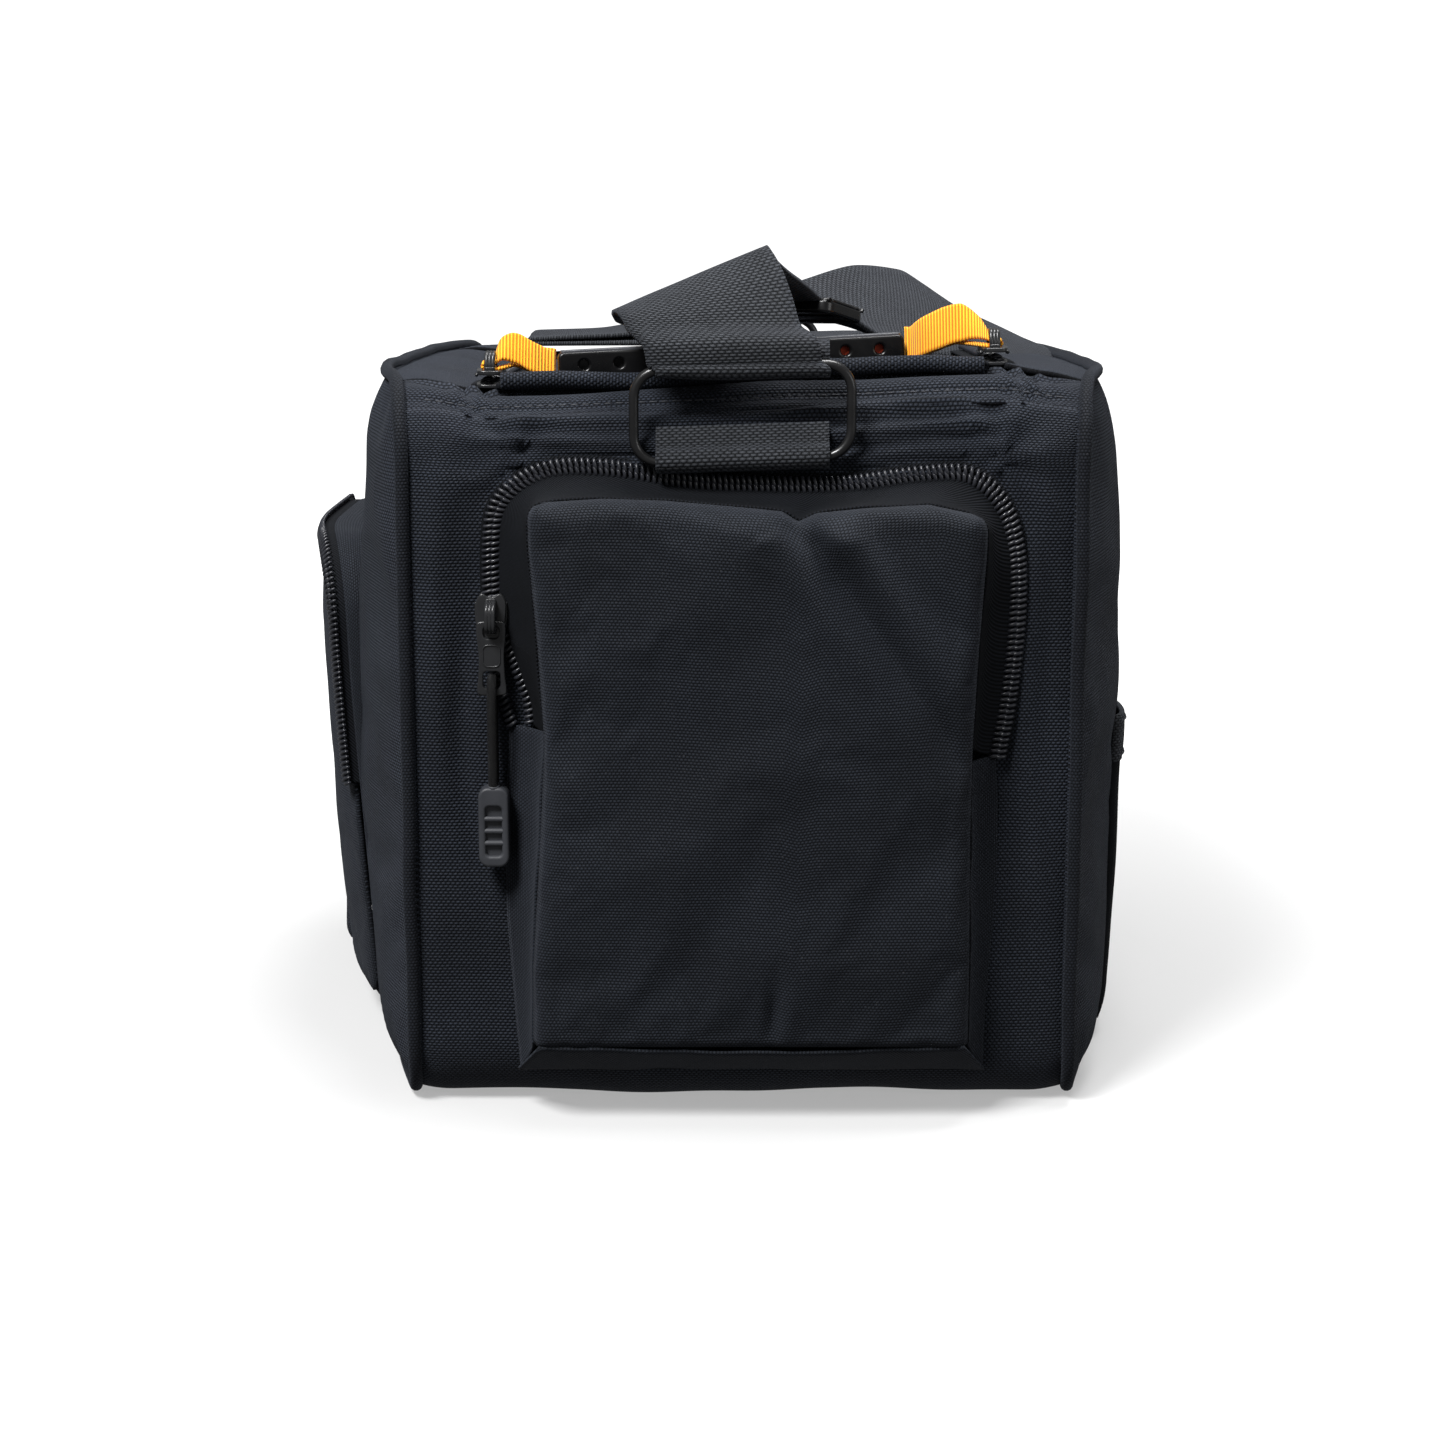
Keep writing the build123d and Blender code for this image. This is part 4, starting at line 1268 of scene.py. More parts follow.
def makeSlider(name, node, place, body, material):
    s = sliderSettings
    w, l = s["width"] / 2, s["length"] / 2
    top = [(-w * 0.62, -l), (w * 0.62, -l), (w * 0.86, -l * 0.55), (w, l * 0.25), (w * 0.97, l * 0.7),
           (w * 0.62, l), (w * 0.2, l * 0.86), (-w * 0.2, l * 0.86), (-w * 0.62, l), (-w * 0.97, l * 0.7),
           (-w, l * 0.25), (-w * 0.86, -l * 0.55)]
    outline = smoothPath(top, 60, True)[:-1].tolist()
    parts = []
    for height, thick in ((0.0019, 0.0014), (-0.0022, 0.0012)):
        above = place @ Matrix.Translation((0, 0, height))
        parts.append(plate(name + "Plate", [outline], thick, 0.00035, above, material))
    # turned-in flanges that hold the tape
    for side in (-1, 1):
        flange = [(side * w * 0.9, -l * 0.5, 0.0011), (side * w * 1.0, l * 0.1, 0.0008),
                  (side * w * 0.98, l * 0.62, 0.0011)]
        parts.append(tube(name + "Flange", transformed(smoothPath(flange, 16), place), 0.0006, material, 8))
    half, high = s["bailHalf"], s["bailHigh"]
    bail = [(0, -half, 0.0022), (0, -half, 0.0045), (0, -half + 0.0014, high + 0.0006), (0, 0, high + 0.0011),
            (0, half - 0.0014, high + 0.0006), (0, half, 0.0045), (0, half, 0.0022)]
    for x in (-0.001, 0.0, 0.001):
        shifted = [(px + x, py, pz) for px, py, pz in bail]
        parts.append(tube(name + "Bail", transformed(smoothPath(shifted, 48), place), 0.00072, material, 10))
    # blocks where the bail is cast on to the plate
    for y in (-half, half):
        foot = roundedOutline(0.0034, 0.0026, 0.0008, 0, y)
        under = place @ Matrix.Translation((0, 0, 0.003))
        parts.append(plate(name + "Foot", [foot], 0.0012, 0.0003, under, material))
    piece = joinAll(name, parts)
    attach(piece, body)
    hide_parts(node)
    return piece


def makePuller(name, node, place, top, body, material):
    length = 0.0225
    outline = smoothPath([
        (-0.0033, 0), (0.0033, 0), (0.0044, -0.0012), (0.0044, -0.005), (0.0039, -0.0105), (0.0041, -0.017),
        (0.0045, -0.0205), (0.0036, -length), (-0.0036, -length), (-0.0045, -0.0205), (-0.0041, -0.017),
        (-0.0039, -0.0105), (-0.0044, -0.005), (-0.0044, -0.0012)], 80, True)[:-1].tolist()
    upper = roundedOutline(0.0048, 0.0038, 0.0014, 0, -0.0033)[::-1]
    lower = roundedOutline(0.0052, 0.0052, 0.0012, 0, -length + 0.0046)[::-1]
    put = place @ Matrix.Translation(top)
    parts = [plate(name, [outline, upper, lower], 0.0018, 0.00045, put, material, 3)]
    # raised rim round the plain middle of the puller
    ring = [(x, y, 0.0009) for x, y in roundedOutline(0.0052, 0.0066, 0.0016, 0, -0.0105)]
    rimPath = transformed(smoothPath(ring, 60, True)[:-1], put)
    parts.append(tube(name + "Rim", rimPath, 0.00028, material, 6, True))
    piece = joinAll(name, parts)
    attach(piece, body)
    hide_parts(node)
    return piece


pullBarSettings = {
    "turn": 8,
    "length": 0.110,
    "wide": 0.0056,
    "tall": 0.0082,
    "eyes": (-0.047, -0.036, 0.036, 0.047),
    "eyeRadius": 0.0015,
}


def makeLidPull():
    for side, name in ((-1, "left"), (1, "right")):
        low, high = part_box("lid_slider_" + name)
        x, y = (low.x + high.x) / 2, (low.y + high.y) / 2
        tilt = bag["lean"] * side * 0.4
        origin = Vector(deckPoint(x, y, 0.0028))
        place = axes(origin, (1, 0, tilt), (0, 1, 0))
        piece = "lidSlider" + name.capitalize()
        makeSlider(piece, "lid_slider_" + name, place, "lid_pull", finish["blackMetal"])
    low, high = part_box("pull_bar")
    centre = Vector(((low.x + high.x) / 2, (low.y + high.y) / 2, 0))
    s = pullBarSettings
    turn = math.radians(s["turn"])
    length, wide, tall = s["length"], s["wide"], s["tall"]
    along = Vector((math.cos(turn), math.sin(turn), bag["lean"]))
    base = deckPoint(centre.x, centre.y, 0.0012)
    place = axes((centre.x, centre.y, base[2] + tall / 2), along, (0, 0, 1))
    # seen from the front: a long plate with four eyelets near its ends
    outline = roundedOutline(length, tall, 0.0018)
    circle = np.linspace(0, -2 * math.pi, 20)[:-1]
    r = s["eyeRadius"]
    eyes = [[(x + r * math.cos(a), r * math.sin(a)) for a in circle] for x in s["eyes"]]
    bar = plate("pullBar", [outline] + eyes, wide, 0.0009, place, finish["vinyl"], 3)
    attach(bar, "lid_pull")
    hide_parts("pull_bar")
    # the cap on the bar's top is painted highlight: lighter than the bar's black vinyl
    lying = place @ Matrix.Rotation(math.radians(-90), 4, "X") @ Matrix.Translation((0, 0, tall / 2 + 0.0001))
    cap = plate("pullBarTop", [roundedOutline(length - 0.002, wide * 0.86, 0.0012)], 0.0009, 0.0002, lying,
                finish["satin"])
    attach(cap, "lid_pull")
    # fill inside the bar behind each pair of eyelets, painted shade: on the right a darker orange copy of the
    # ribbon stands for the ribbon in shade, on the left dark vinyl stands for shade
    for x, name, surface, label in (
        (0.0405, "pullBarCore", "lining", "ribbon"), (-0.0415, "pullBarFill", "vinyl", "pull_bar_vinyl")
    ):
        core = plate(name, [roundedOutline(0.024, 0.0048, 0.001, x)], 0.0014, 0.0002, place, finish[surface])
        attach(core, "lid_pull")
    for side, name in ((-1, "left"), (1, "right")):
        makeRibbon(side, name, place, length)
    print("pull bar")


# grosgrain wrapped round the bar's end, narrowing through the slider's bail and back
def makeRibbon(side, name, place, length):
    low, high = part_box("lid_slider_" + name)
    slider = Vector(deckPoint((low.x + high.x) / 2, (low.y + high.y) / 2, 0.0028))
    bail = slider + Vector((0, 0, 0.0052))
    end = place @ Vector((side * length / 2, 0, 0))
    inner = place @ Vector((side * (length / 2 + 0.0012), 0, 0))
    flow = (bail - end).normalized()
    width = Vector((0, 0.4, 0.9)).normalized()
    flat = Vector((0, -1, 0))
    grow = 1.0 if side < 0 else 1.3
    keys = [
        (inner - Vector((0, 0.0045, -0.0006 * grow)), width, 0.0090 * grow),
        (end - Vector((side * -0.0024, 0.0048, -0.0008 * grow)), width, 0.0095 * grow),
        (end + flow * 0.008 + Vector((0, -0.0038, 0.0024 * grow)), width, 0.010 * grow),
        (end.lerp(bail, 0.6) + Vector((0, -0.0015, 0.0045 * grow)), width, 0.0095 * grow),
        (end.lerp(bail, 0.82) + Vector((0, 0, 0.0040)), width * 0.7 - flat * 0.5, 0.0085),
        (bail + Vector((-side * 0.0012, 0, 0.0004)), flat * -1, 0.0066),
        (bail + Vector((side * 0.0022, 0, -0.0010)), flat * -1, 0.0064),
        (bail + Vector((side * 0.0012, 0, -0.0026)), flat * -1, 0.0064),
        (bail + Vector((-side * 0.003, 0, -0.0024)), flat * -1, 0.0066),
        (end.lerp(bail, 0.5) + Vector((0, 0.003, 0.0)), width * 0.5 - flat * 0.6, 0.0085),
        (end + flow * 0.003 + Vector((0, 0.0042, 0.0006)), width, 0.0095),
        (inner + Vector((0, 0.0045, 0.0006)), width, 0.0090 * grow),
    ]
    spine = smoothPath([tuple(k[0]) for k in keys], 90)
    share = np.linspace(0, 1, 90)
    wide = np.interp(share, np.linspace(0, 1, len(keys)), [k[2] for k in keys])
    stops = np.linspace(0, 1, len(keys))
    units = [k[1].normalized() for k in keys]
    dirs = np.column_stack([np.interp(share, stops, [unit[a] for unit in units]) for a in range(3)])
    cols = 13
    points = np.zeros((90, cols, 3))
    for c in range(cols):
        f = c / (cols - 1) - 0.5
        bow = 0.0006 * (1 - (2 * f) ** 2)
        points[:, c] = spine + dirs * (wide * f)[:, None] + np.array([0, 0, 1]) * bow
    piece = gridSheet("ribbon" + name.capitalize(), points, finish["ribbon"])
    thicken(piece, 0.0009, 0.0)
    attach(piece, "lid_pull")
    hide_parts("pull_ribbon_" + name)


makeLid()
makeLidPull()

# end pocket's slider, puller and cord


def makeEndPull():
    low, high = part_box("end_pocket_slider")
    place = axes(((low.x + high.x) / 2, high.y - 0.0012, (low.z + high.z) / 2), (1, 0, 0), (0, 0, 1))
    makeSlider("endSlider", "end_pocket_slider", place, "end_slider", finish["blackMetal"])
    low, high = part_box("end_pocket_puller")
    middle = Vector(((low.x + high.x) / 2, (low.y + high.y) / 2, high.z))
    put = axes(middle, (1, 0, 0), (0, 0, 1))
    makePuller("endPuller", "end_pocket_puller", put, (0, 0, 0), "end_puller", finish["blackMetal"])
    tipLow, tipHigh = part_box("pull_tip")
    x = (tipLow.x + tipHigh.x) / 2
    radius = 0.0015
    # the route of the cord in the CAD model, as control points: y and z
    route = [(x, y, z) for y, z in ((-0.15855, 0.10574), (-0.15975, 0.12244), (-0.15945, 0.13914),
                                    (-0.15425, 0.13914), (-0.15395, 0.12244), (-0.15515, 0.10574))]
    front, back = route[0][1], route[-1][1]
    curve = bpy.data.curves.new("pullCord", "CURVE")
    curve.dimensions = "3D"
    curve.bevel_depth = radius
    curve.bevel_resolution = 4
    spline = curve.splines.new("NURBS")
    spline.points.add(len(route) - 1)
    for point, place in zip(spline.points, route):
        point.co = (*place, 1)
    spline.order_u = 3
    spline.use_endpoint_u = True
    spline.resolution_u = 24
    curve.materials.append(finish["braid"])
    cord = bpy.data.objects.new("pullCord", curve)
    scene.collection.objects.link(cord)
    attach(cord, "end_puller")
    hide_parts("pull_cord")
    width, length = tipHigh.x - tipLow.x, tipHigh.z - tipLow.z
    middle = Vector((x, (tipLow.y + tipHigh.y) / 2, (tipLow.z + tipHigh.z) / 2))
    put = axes(middle, (1, 0, 0), (0, 0, 1))
    body = roundedOutline(width, length, 0.0032)
    window = roundedOutline(width * 0.52, length * 0.62, 0.0012, 0, -0.0012)[::-1]
    parts = [
        plate("tip", [body, window], 0.0068, 0.0009, put, finish["rubber"], 3),
        plate("tipCore", [roundedOutline(width * 0.8, length * 0.8, 0.002)],
              0.0036, 0.0004, put, finish["rubber"]),
    ]
    for k in range(3):
        rung = [(-width * 0.4, 0.0026 - 0.0038 * k, 0), (width * 0.4, 0.0026 - 0.0038 * k, 0)]
        bar = tube("rung", transformed(smoothPath(rung, 12), put), 0.0009, finish["rubber"], 12)
        parts.append(bar)
        for face in (-1, 1):
            raised = [(px, py, face * 0.0024) for px, py, _ in rung]
            parts.append(tube("rung", transformed(smoothPath(raised, 12), put), 0.0009, finish["rubber"], 12))
    for side in (front, back):
        inwards = 0.0006 if side == front else -0.0006
        collar = [(x, side + inwards, tipHigh.z - 0.0015), (x, side, tipHigh.z + 0.0006)]
        parts.append(tube("collar", smoothPath(collar, 6), 0.0019, finish["rubber"], 16))
    tip = joinAll("pullTip", parts)
    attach(tip, "end_puller")
    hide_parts("pull_tip")
    print("end pocket slider, puller and cord")


makeEndPull()

# side pocket

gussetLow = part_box("side_pocket_gusset")[0]
sidePocket = {
    "x": gussetLow.x,
    "half": 0.074,
    "top": 0.169,
    "low": 0.0125,
    "corner": 0.026,
    "lowCorner": 0.008,
    "hinge": 0.088,
}


# outline of the pocket's front in its own plane: y along the bag, and height
def sideOutline(inset, count):
    p = sidePocket
    half, top, low = p["half"] - inset, p["top"] - inset, p["low"] + inset
    points = []
    for cy, cz, r, start in ((half, low, p["lowCorner"], -90), (half, top, p["corner"], 0),
                             (-half, top, p["corner"], 90), (-half, low, p["lowCorner"], 180)):
        sy = 1 if cy > 0 else -1
        sz = 1 if cz > 0.09 else -1
        for k in range(9):
            a = math.radians(start + 90 * k / 8)
            points.append((cy - sy * r + r * math.cos(a), cz - sz * r + r * math.sin(a)))
    pts = np.array(points + [points[0]])
    run = np.concatenate([[0], np.cumsum(np.linalg.norm(np.diff(pts, axis=0), axis=1))])
    want = np.linspace(0, run[-1], count)
    return np.column_stack([np.interp(want, run, pts[:, 0]), np.interp(want, run, pts[:, 1])])


def sideFrontX(y, z):
    p = sidePocket
    g = y / p["half"]
    up = (z - p["low"]) / (p["top"] - p["low"])
    near = 0.0105 * g * g if y < 0 else 0.001 * g * g
    taper = (0.010 if y < 0 else 0.002) * max(1 - up, 0) ** 1.5 * (0.35 + 0.65 * abs(g))
    return p["x"] - 0.001 + near + taper


def makeSidePocket():
    p = sidePocket
    rows, cols = 96, 92
    low, top, half, r = p["low"], p["top"], p["half"], p["corner"]
    points = np.zeros((rows, cols, 3))
    for i in range(rows):
        t = i / (rows - 1)
        z = low + (top - low) * t
        rise = max(z - (top - r), 0)
        limit = half - r + math.sqrt(max(r * r - rise * rise, 0))
        fall = max(low + p["lowCorner"] - z, 0)
        limit -= p["lowCorner"] - math.sqrt(max(p["lowCorner"] ** 2 - fall * fall, 0))
        for k in range(cols):
            g = -1 + 2 * k / (cols - 1)
            y = g * limit
            brim = min(limit - abs(y), top - z, z - low)
            drop = 0.0014 * max(0, 1 - brim / 0.005) ** 2
            spot = (y, z, 3.3)
            ripple = 0.0012 * smoothNoise(spot, 16, 41) + 0.0006 * smoothNoise(spot, 50, 42)
            ripple = ripple * min(1, brim / 0.01)
            points[i, k] = (sideFrontX(y, z) + drop - ripple, y, z)
    points = points[:, ::-1]
    piece = gridSheet("sidePocketFront", points, finish["fine"])
    billow(piece, edgeOf(rows, cols), 2.5, 0.01, 0.003)
    thicken(piece, endPocket["cloth"])
    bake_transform(piece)
    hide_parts("side_pocket_front")
    count = 260
    rim = sideOutline(-0.0005, count)
    root = sideOutline(-0.001, count)
    walls = np.zeros((16, count, 3))
    for i in range(16):
        t = i / 15
        for k in range(count):
            y, z = root[k] * (1 - t) + rim[k] * t
            outer = sideFrontX(rim[k, 0], rim[k, 1]) + 0.0035
            wall = -halfWidth(y, z) + 0.0012
            x = wall * (1 - t) + outer * t
            bend = math.sin(math.pi * t)
            puff = bend * (0.0012 + 0.0012 * noise.noise(Vector((y * 30, z * 30, t * 3))))
            middle = np.array([0.0, 0.092])
            away = np.array([y, z]) - middle
            away /= np.linalg.norm(away)
            walls[i, k] = (x, y + away[0] * puff, lifted(x, y, max(z + away[1] * puff, 0.003)))
    gusset = gridSheet("sidePocketGusset", walls, finish["fine"])
    thicken(gusset, endPocket["cloth"], 0.0)
    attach(gusset, "bag")
    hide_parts("side_pocket_gusset")
    # the zip runs over the top, from one end of the fold to the other
    edge = sideOutline(0.0, 400)
    chain = [(y, z) for y, z in edge if z > p["hinge"]]
    chain = np.array(sorted(chain, key=lambda q: math.atan2(q[0], q[1] - 0.1)))
    line = np.column_stack([[sideFrontX(y, z) - 0.0006 for y, z in chain], chain[:, 0], chain[:, 1]])
    line = smoothPath(line[::4], 300)
    step = np.gradient(line, axis=0)
    step /= np.linalg.norm(step, axis=1, keepdims=True)
    away = np.cross(step, (-1.0, 0.0, 0.0))
    if away[150, 2] < 0:
        away = -away
    out = (-1.0, -0.6, 0.3)
    outer = repeatOn("sideZipOuterTeeth", line, toothRight, zipSettings["pitch"], 0.0, out, finish["coil"])
    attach(outer, "bag")
    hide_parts("side_pocket_zip_outer")
    pitch = zipSettings["pitch"]
    inner = repeatOn("sideZipInnerTeeth", line, toothLeft, pitch, pitch / 2, out, finish["coil"])
    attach(inner, "side_pocket_flap")
    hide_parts("side_pocket_zip_inner")
    inwards = np.tile((1.0, 0.0, 0.0), (len(line), 1))
    tapeStrip("sideZipOuterTape", line + away * 0.0007, inwards, 0.0004, 0.006, 0.0, "bag", out)
    tapeStrip("sideZipInnerTape", line, away, -0.0045, 0.0004, -0.0006, "side_pocket_flap", (-1.0, 0.0, 0.0))
    low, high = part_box("side_pocket_slider")
    middle = (low + high) / 2
    place = axes((high.x - 0.0012, middle.y, middle.z), (0, -1, 0), (0, 0, 1))
    makeSlider("sideSlider", "side_pocket_slider", place, "side_slider", finish["blackMetal"])
    low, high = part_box("side_pocket_puller")
    middle = (low + high) / 2
    put = axes((middle.x, middle.y, high.z), (0, -1, 0), (0, 0, 1))
    makePuller("sidePuller", "side_pocket_puller", put, (0, 0, 0), "side_puller", finish["blackMetal"])
    print("side pocket")


makeSidePocket()

# mesh pocket

netSettings = {
    "half": 0.078,
    "low": 0.0065,
    "top": 0.112,
    "binding": 0.016,
    "stand": 0.0035,
    "cell": 0.0036,
    "thread": 0.00042,
}


def netX(y, z):
    n = netSettings
    base = halfWidth(y, max(z, 0.02))
    side = min(1.0, (n["half"] - abs(y)) / 0.012)
    low = min(1.0, (z - n["low"]) / 0.014)
    stand = n["stand"] * math.sqrt(max(side * (2 - side), 0)) * math.sqrt(max(low * (2 - low), 0))
    gather = 0.0007 * math.sin(y * 150 + 3 * math.sin(y * 41)) * max(0, (z - 0.07) / 0.04)
    return base + 0.0006 + stand + gather + 0.001 * noise.noise(Vector((y * 25, z * 25, 4)))


def makeNet():
    n = netSettings
    top = n["top"] - n["binding"] + 0.002
    rows, cols = 34, 48
    verts, edges, index = [], set(), {}

    def corner(u, v):
        y = min(max(u, -n["half"]), n["half"])
        z = min(max(v, n["low"]), top)
        key = (round(y, 5), round(z, 5))
        if key not in index:
            index[key] = len(verts)
            verts.append((netX(y, z), y, z))
        return index[key]

    cell = n["cell"]
    tall = cell * 0.75
    for r in range(int((top - n["low"]) / tall) + 2):
        for c in range(int(2 * n["half"] / cell) + 2):
            cy = -n["half"] + c * cell + (0.5 * cell if r % 2 else 0)
            cz = n["low"] + r * tall
            ring = []
            for k in range(6):
                a = math.radians(60 * k + 30)
                y, z = cy + 0.577 * cell * math.cos(a), cz + 0.5 * cell * math.sin(a)
                ring.append(corner(round(y, 5), round(z, 5)))
            for a, b in zip(ring, ring[1:] + ring[:1]):
                if a != b:
                    edges.add((min(a, b), max(a, b)))
    mesh = bpy.data.meshes.new("meshNet")
    mesh.from_pydata(verts, sorted(edges), [])
    piece = addObject("meshPocket", mesh)
    rule = piece.modifiers.new("threads", "NODES")
    tree = bpy.data.node_groups.new("threadsFromEdges", "GeometryNodeTree")
    tree.interface.new_socket(name="Geometry", in_out="INPUT", socket_type="NodeSocketGeometry")
    tree.interface.new_socket(name="Thread Radius", in_out="INPUT", socket_type="NodeSocketFloat")
    tree.interface.new_socket(name="Finish", in_out="INPUT", socket_type="NodeSocketMaterial")
    tree.interface.new_socket(name="Geometry", in_out="OUTPUT", socket_type="NodeSocketGeometry")
    start = tree.nodes.new("NodeGroupInput")
    end = tree.nodes.new("NodeGroupOutput")
    lines = tree.nodes.new("GeometryNodeMeshToCurve")
    tree.links.new(start.outputs["Geometry"], lines.inputs[0])
    circle = tree.nodes.new("GeometryNodeCurvePrimitiveCircle")
    circle.inputs["Resolution"].default_value = 4
    tree.links.new(start.outputs["Thread Radius"], circle.inputs["Radius"])
    sweep = tree.nodes.new("GeometryNodeCurveToMesh")
    tree.links.new(lines.outputs[0], sweep.inputs["Curve"])
    tree.links.new(circle.outputs[0], sweep.inputs["Profile Curve"])
    real = tree.nodes.new("GeometryNodeRealizeInstances")
    tree.links.new(sweep.outputs[0], real.inputs[0])
    paint = tree.nodes.new("GeometryNodeSetMaterial")
    tree.links.new(real.outputs[0], paint.inputs["Geometry"])
    tree.links.new(start.outputs["Finish"], paint.inputs["Material"])
    tree.links.new(paint.outputs[0], end.inputs[0])
    rule.node_group = tree
    setInput(rule, "Thread Radius", n["thread"])
    setInput(rule, "Finish", finish["net"])
    settle(piece)
    piece.data.polygons.foreach_set("use_smooth", [True] * len(piece.data.polygons))
    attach(piece, "bag")
    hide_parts("mesh_pocket")
    rows, cols = 18, 120
    points = np.zeros((rows, cols, 3))
    for r in range(rows):
        t = r / (rows - 1)
        z = n["top"] - n["binding"] * (1 - t)
        for c in range(cols):
            y = n["half"] * (2 * c / (cols - 1) - 1)
            dip = -0.0025 * (1 - (y / n["half"]) ** 2)
            points[r, c] = (netX(y, z) + 0.0006 + 0.0003 * math.sin(math.pi * t), y, z + dip)
    binding = gridSheet("meshBinding", points, finish["webbing"])
    thicken(binding, 0.0017, 0.0)
    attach(binding, "bag")
    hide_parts("mesh_pocket_binding")
    # narrow tape that closes the net's sides and foot
    border = [(s * n["half"], z) for s, zs in ((-1, np.linspace(n["top"] - 0.004, n["low"], 40)),) for z in zs]
    border += [(y, n["low"]) for y in np.linspace(-n["half"], n["half"], 60)[1:-1]]
    border += [(n["half"], z) for z in np.linspace(n["low"], n["top"] - 0.004, 40)]
    strip = np.zeros((4, len(border), 3))
    for k, (y, z) in enumerate(border):
        inwardY = -0.006 * (1 if y > 0 else -1) if abs(y) >= n["half"] - 1e-6 else 0
        inwardZ = 0.006 if z <= n["low"] + 1e-6 else 0
        for r in range(4):
            yy, zz = y + inwardY * r / 3, z + inwardZ * r / 3
            strip[r, k] = (netX(yy, zz) + 0.0008, yy, zz)
    tape = gridSheet("meshBorder", strip, finish["tape"])
    thicken(tape, 0.001, 0.0)
    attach(tape, "bag")
    print("mesh pocket", len(edges), "threads")


makeNet()

# rings, their tabs and the strap

ringSettings = {"width": 0.065, "height": 0.0275, "corner": 0.008, "wire": 0.0015, "lean": 0.035}
strapSettings = {
    "width": 0.052,
    "thick": 0.0016,
    # the front half follows the near ring at its start and lies on the bag from its end on
    "frontBlend": {"start": (0, -0.150, 0.246), "end": (0.086, 0.012, 0.235)},
    "glideAt": (0.010, -0.077, 0.2460),
}
glideSettings = {
    "length": 0.058,
    "height": 0.024,
    "corner": 0.004,
    "thick": 0.0040,
    "slot": 0.0032,
    "slotAt": 0.0054,
}


def makeRing(name, node, side):
    r = ringSettings
    low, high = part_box(node)
    y = (low.y + high.y) / 2
    z = (low.z + high.z) / 2
    outline = roundedOutline(r["width"], r["height"], r["corner"], 0, 0, 10)
    path = []
    for a, b in zip(outline, outline[1:] + outline[:1]):
        pieces = max(1, int(math.dist(a, b) / 0.0015))
        for k in range(pieces):
            f = k / pieces
            x = a[0] + (b[0] - a[0]) * f
            path.append((x, y, z + a[1] + (b[1] - a[1]) * f - side * ringSettings["lean"] * x))
    ring = tube(name + "Ring", np.array(path), r["wire"], finish["wire"], 16, True)
    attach(ring, node)
    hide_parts(node)


def makeTab(name, node, side):
    low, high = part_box(node)
    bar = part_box(name + "_ring")
    y = (bar[0].y + bar[1].y) / 2
    z = bar[0].z + ringSettings["wire"]
    face = side * bag["halfDepth"]
    reach = 0.0025
    profile = [
        (face + side * 0.0004, z - 0.0018), (face + side * 0.0016, z - 0.0024), (y - side * 0.0018, z - 0.0028),
        (y + side * 0.0012, z - reach * 0.9), (y + side * reach, z), (y + side * 0.0012, z + reach),
        (y - side * 0.0012, z + 0.0038), (face + side * 0.0022, z + 0.0072), (face + side * 0.0004, z + 0.0098),
    ]
    spine = smoothPath(profile, 46)
    cols = 40
    half = strapSettings["width"] / 2
    points = np.zeros((46, cols, 3))
    for c in range(cols):
        x = half * (2 * c / (cols - 1) - 1)
        wave = 0.0003 * noise.noise(Vector((x * 70, side, 0)))
        for r in range(46):
            px, pz = spine[r]
            points[r, c] = (x, px + side * wave, pz + wave - side * ringSettings["lean"] * x)
    if side > 0:
        points = points[:, ::-1]
    tab = gridSheet(name + "RingTab", points[::-1], finish["webbing"])
    thicken(tab, 0.0016, 0.0)
    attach(tab, "bag")
    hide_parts(node)


# left and right edges of the front half up to the glide, where it rises off the ring and folds back
frontEdges = [
    ((-0.0283, -0.1566, 0.2328), (0.0237, -0.1566, 0.2343)),
    ((-0.0293, -0.1564, 0.2362), (0.0235, -0.1566, 0.2380)),
    ((-0.0303, -0.1558, 0.2392), (0.0225, -0.1556, 0.2412)),
    ((-0.0315, -0.1545, 0.2415), (0.0192, -0.1520, 0.2426)),
    ((-0.0330, -0.1530, 0.2442), (0.0158, -0.1478, 0.2442)),
    ((-0.0350, -0.1500, 0.2475), (0.0138, -0.1430, 0.2520)),
    ((-0.0364, -0.1450, 0.2492), (0.0102, -0.1370, 0.2605)),
    ((-0.0362, -0.1385, 0.2488), (0.0052, -0.1295, 0.2662)),
    ((-0.0345, -0.1260, 0.2470), (0.0040, -0.1200, 0.2640)),
    ((-0.0300, -0.1080, 0.2445), (0.0120, -0.1120, 0.2575)),
]
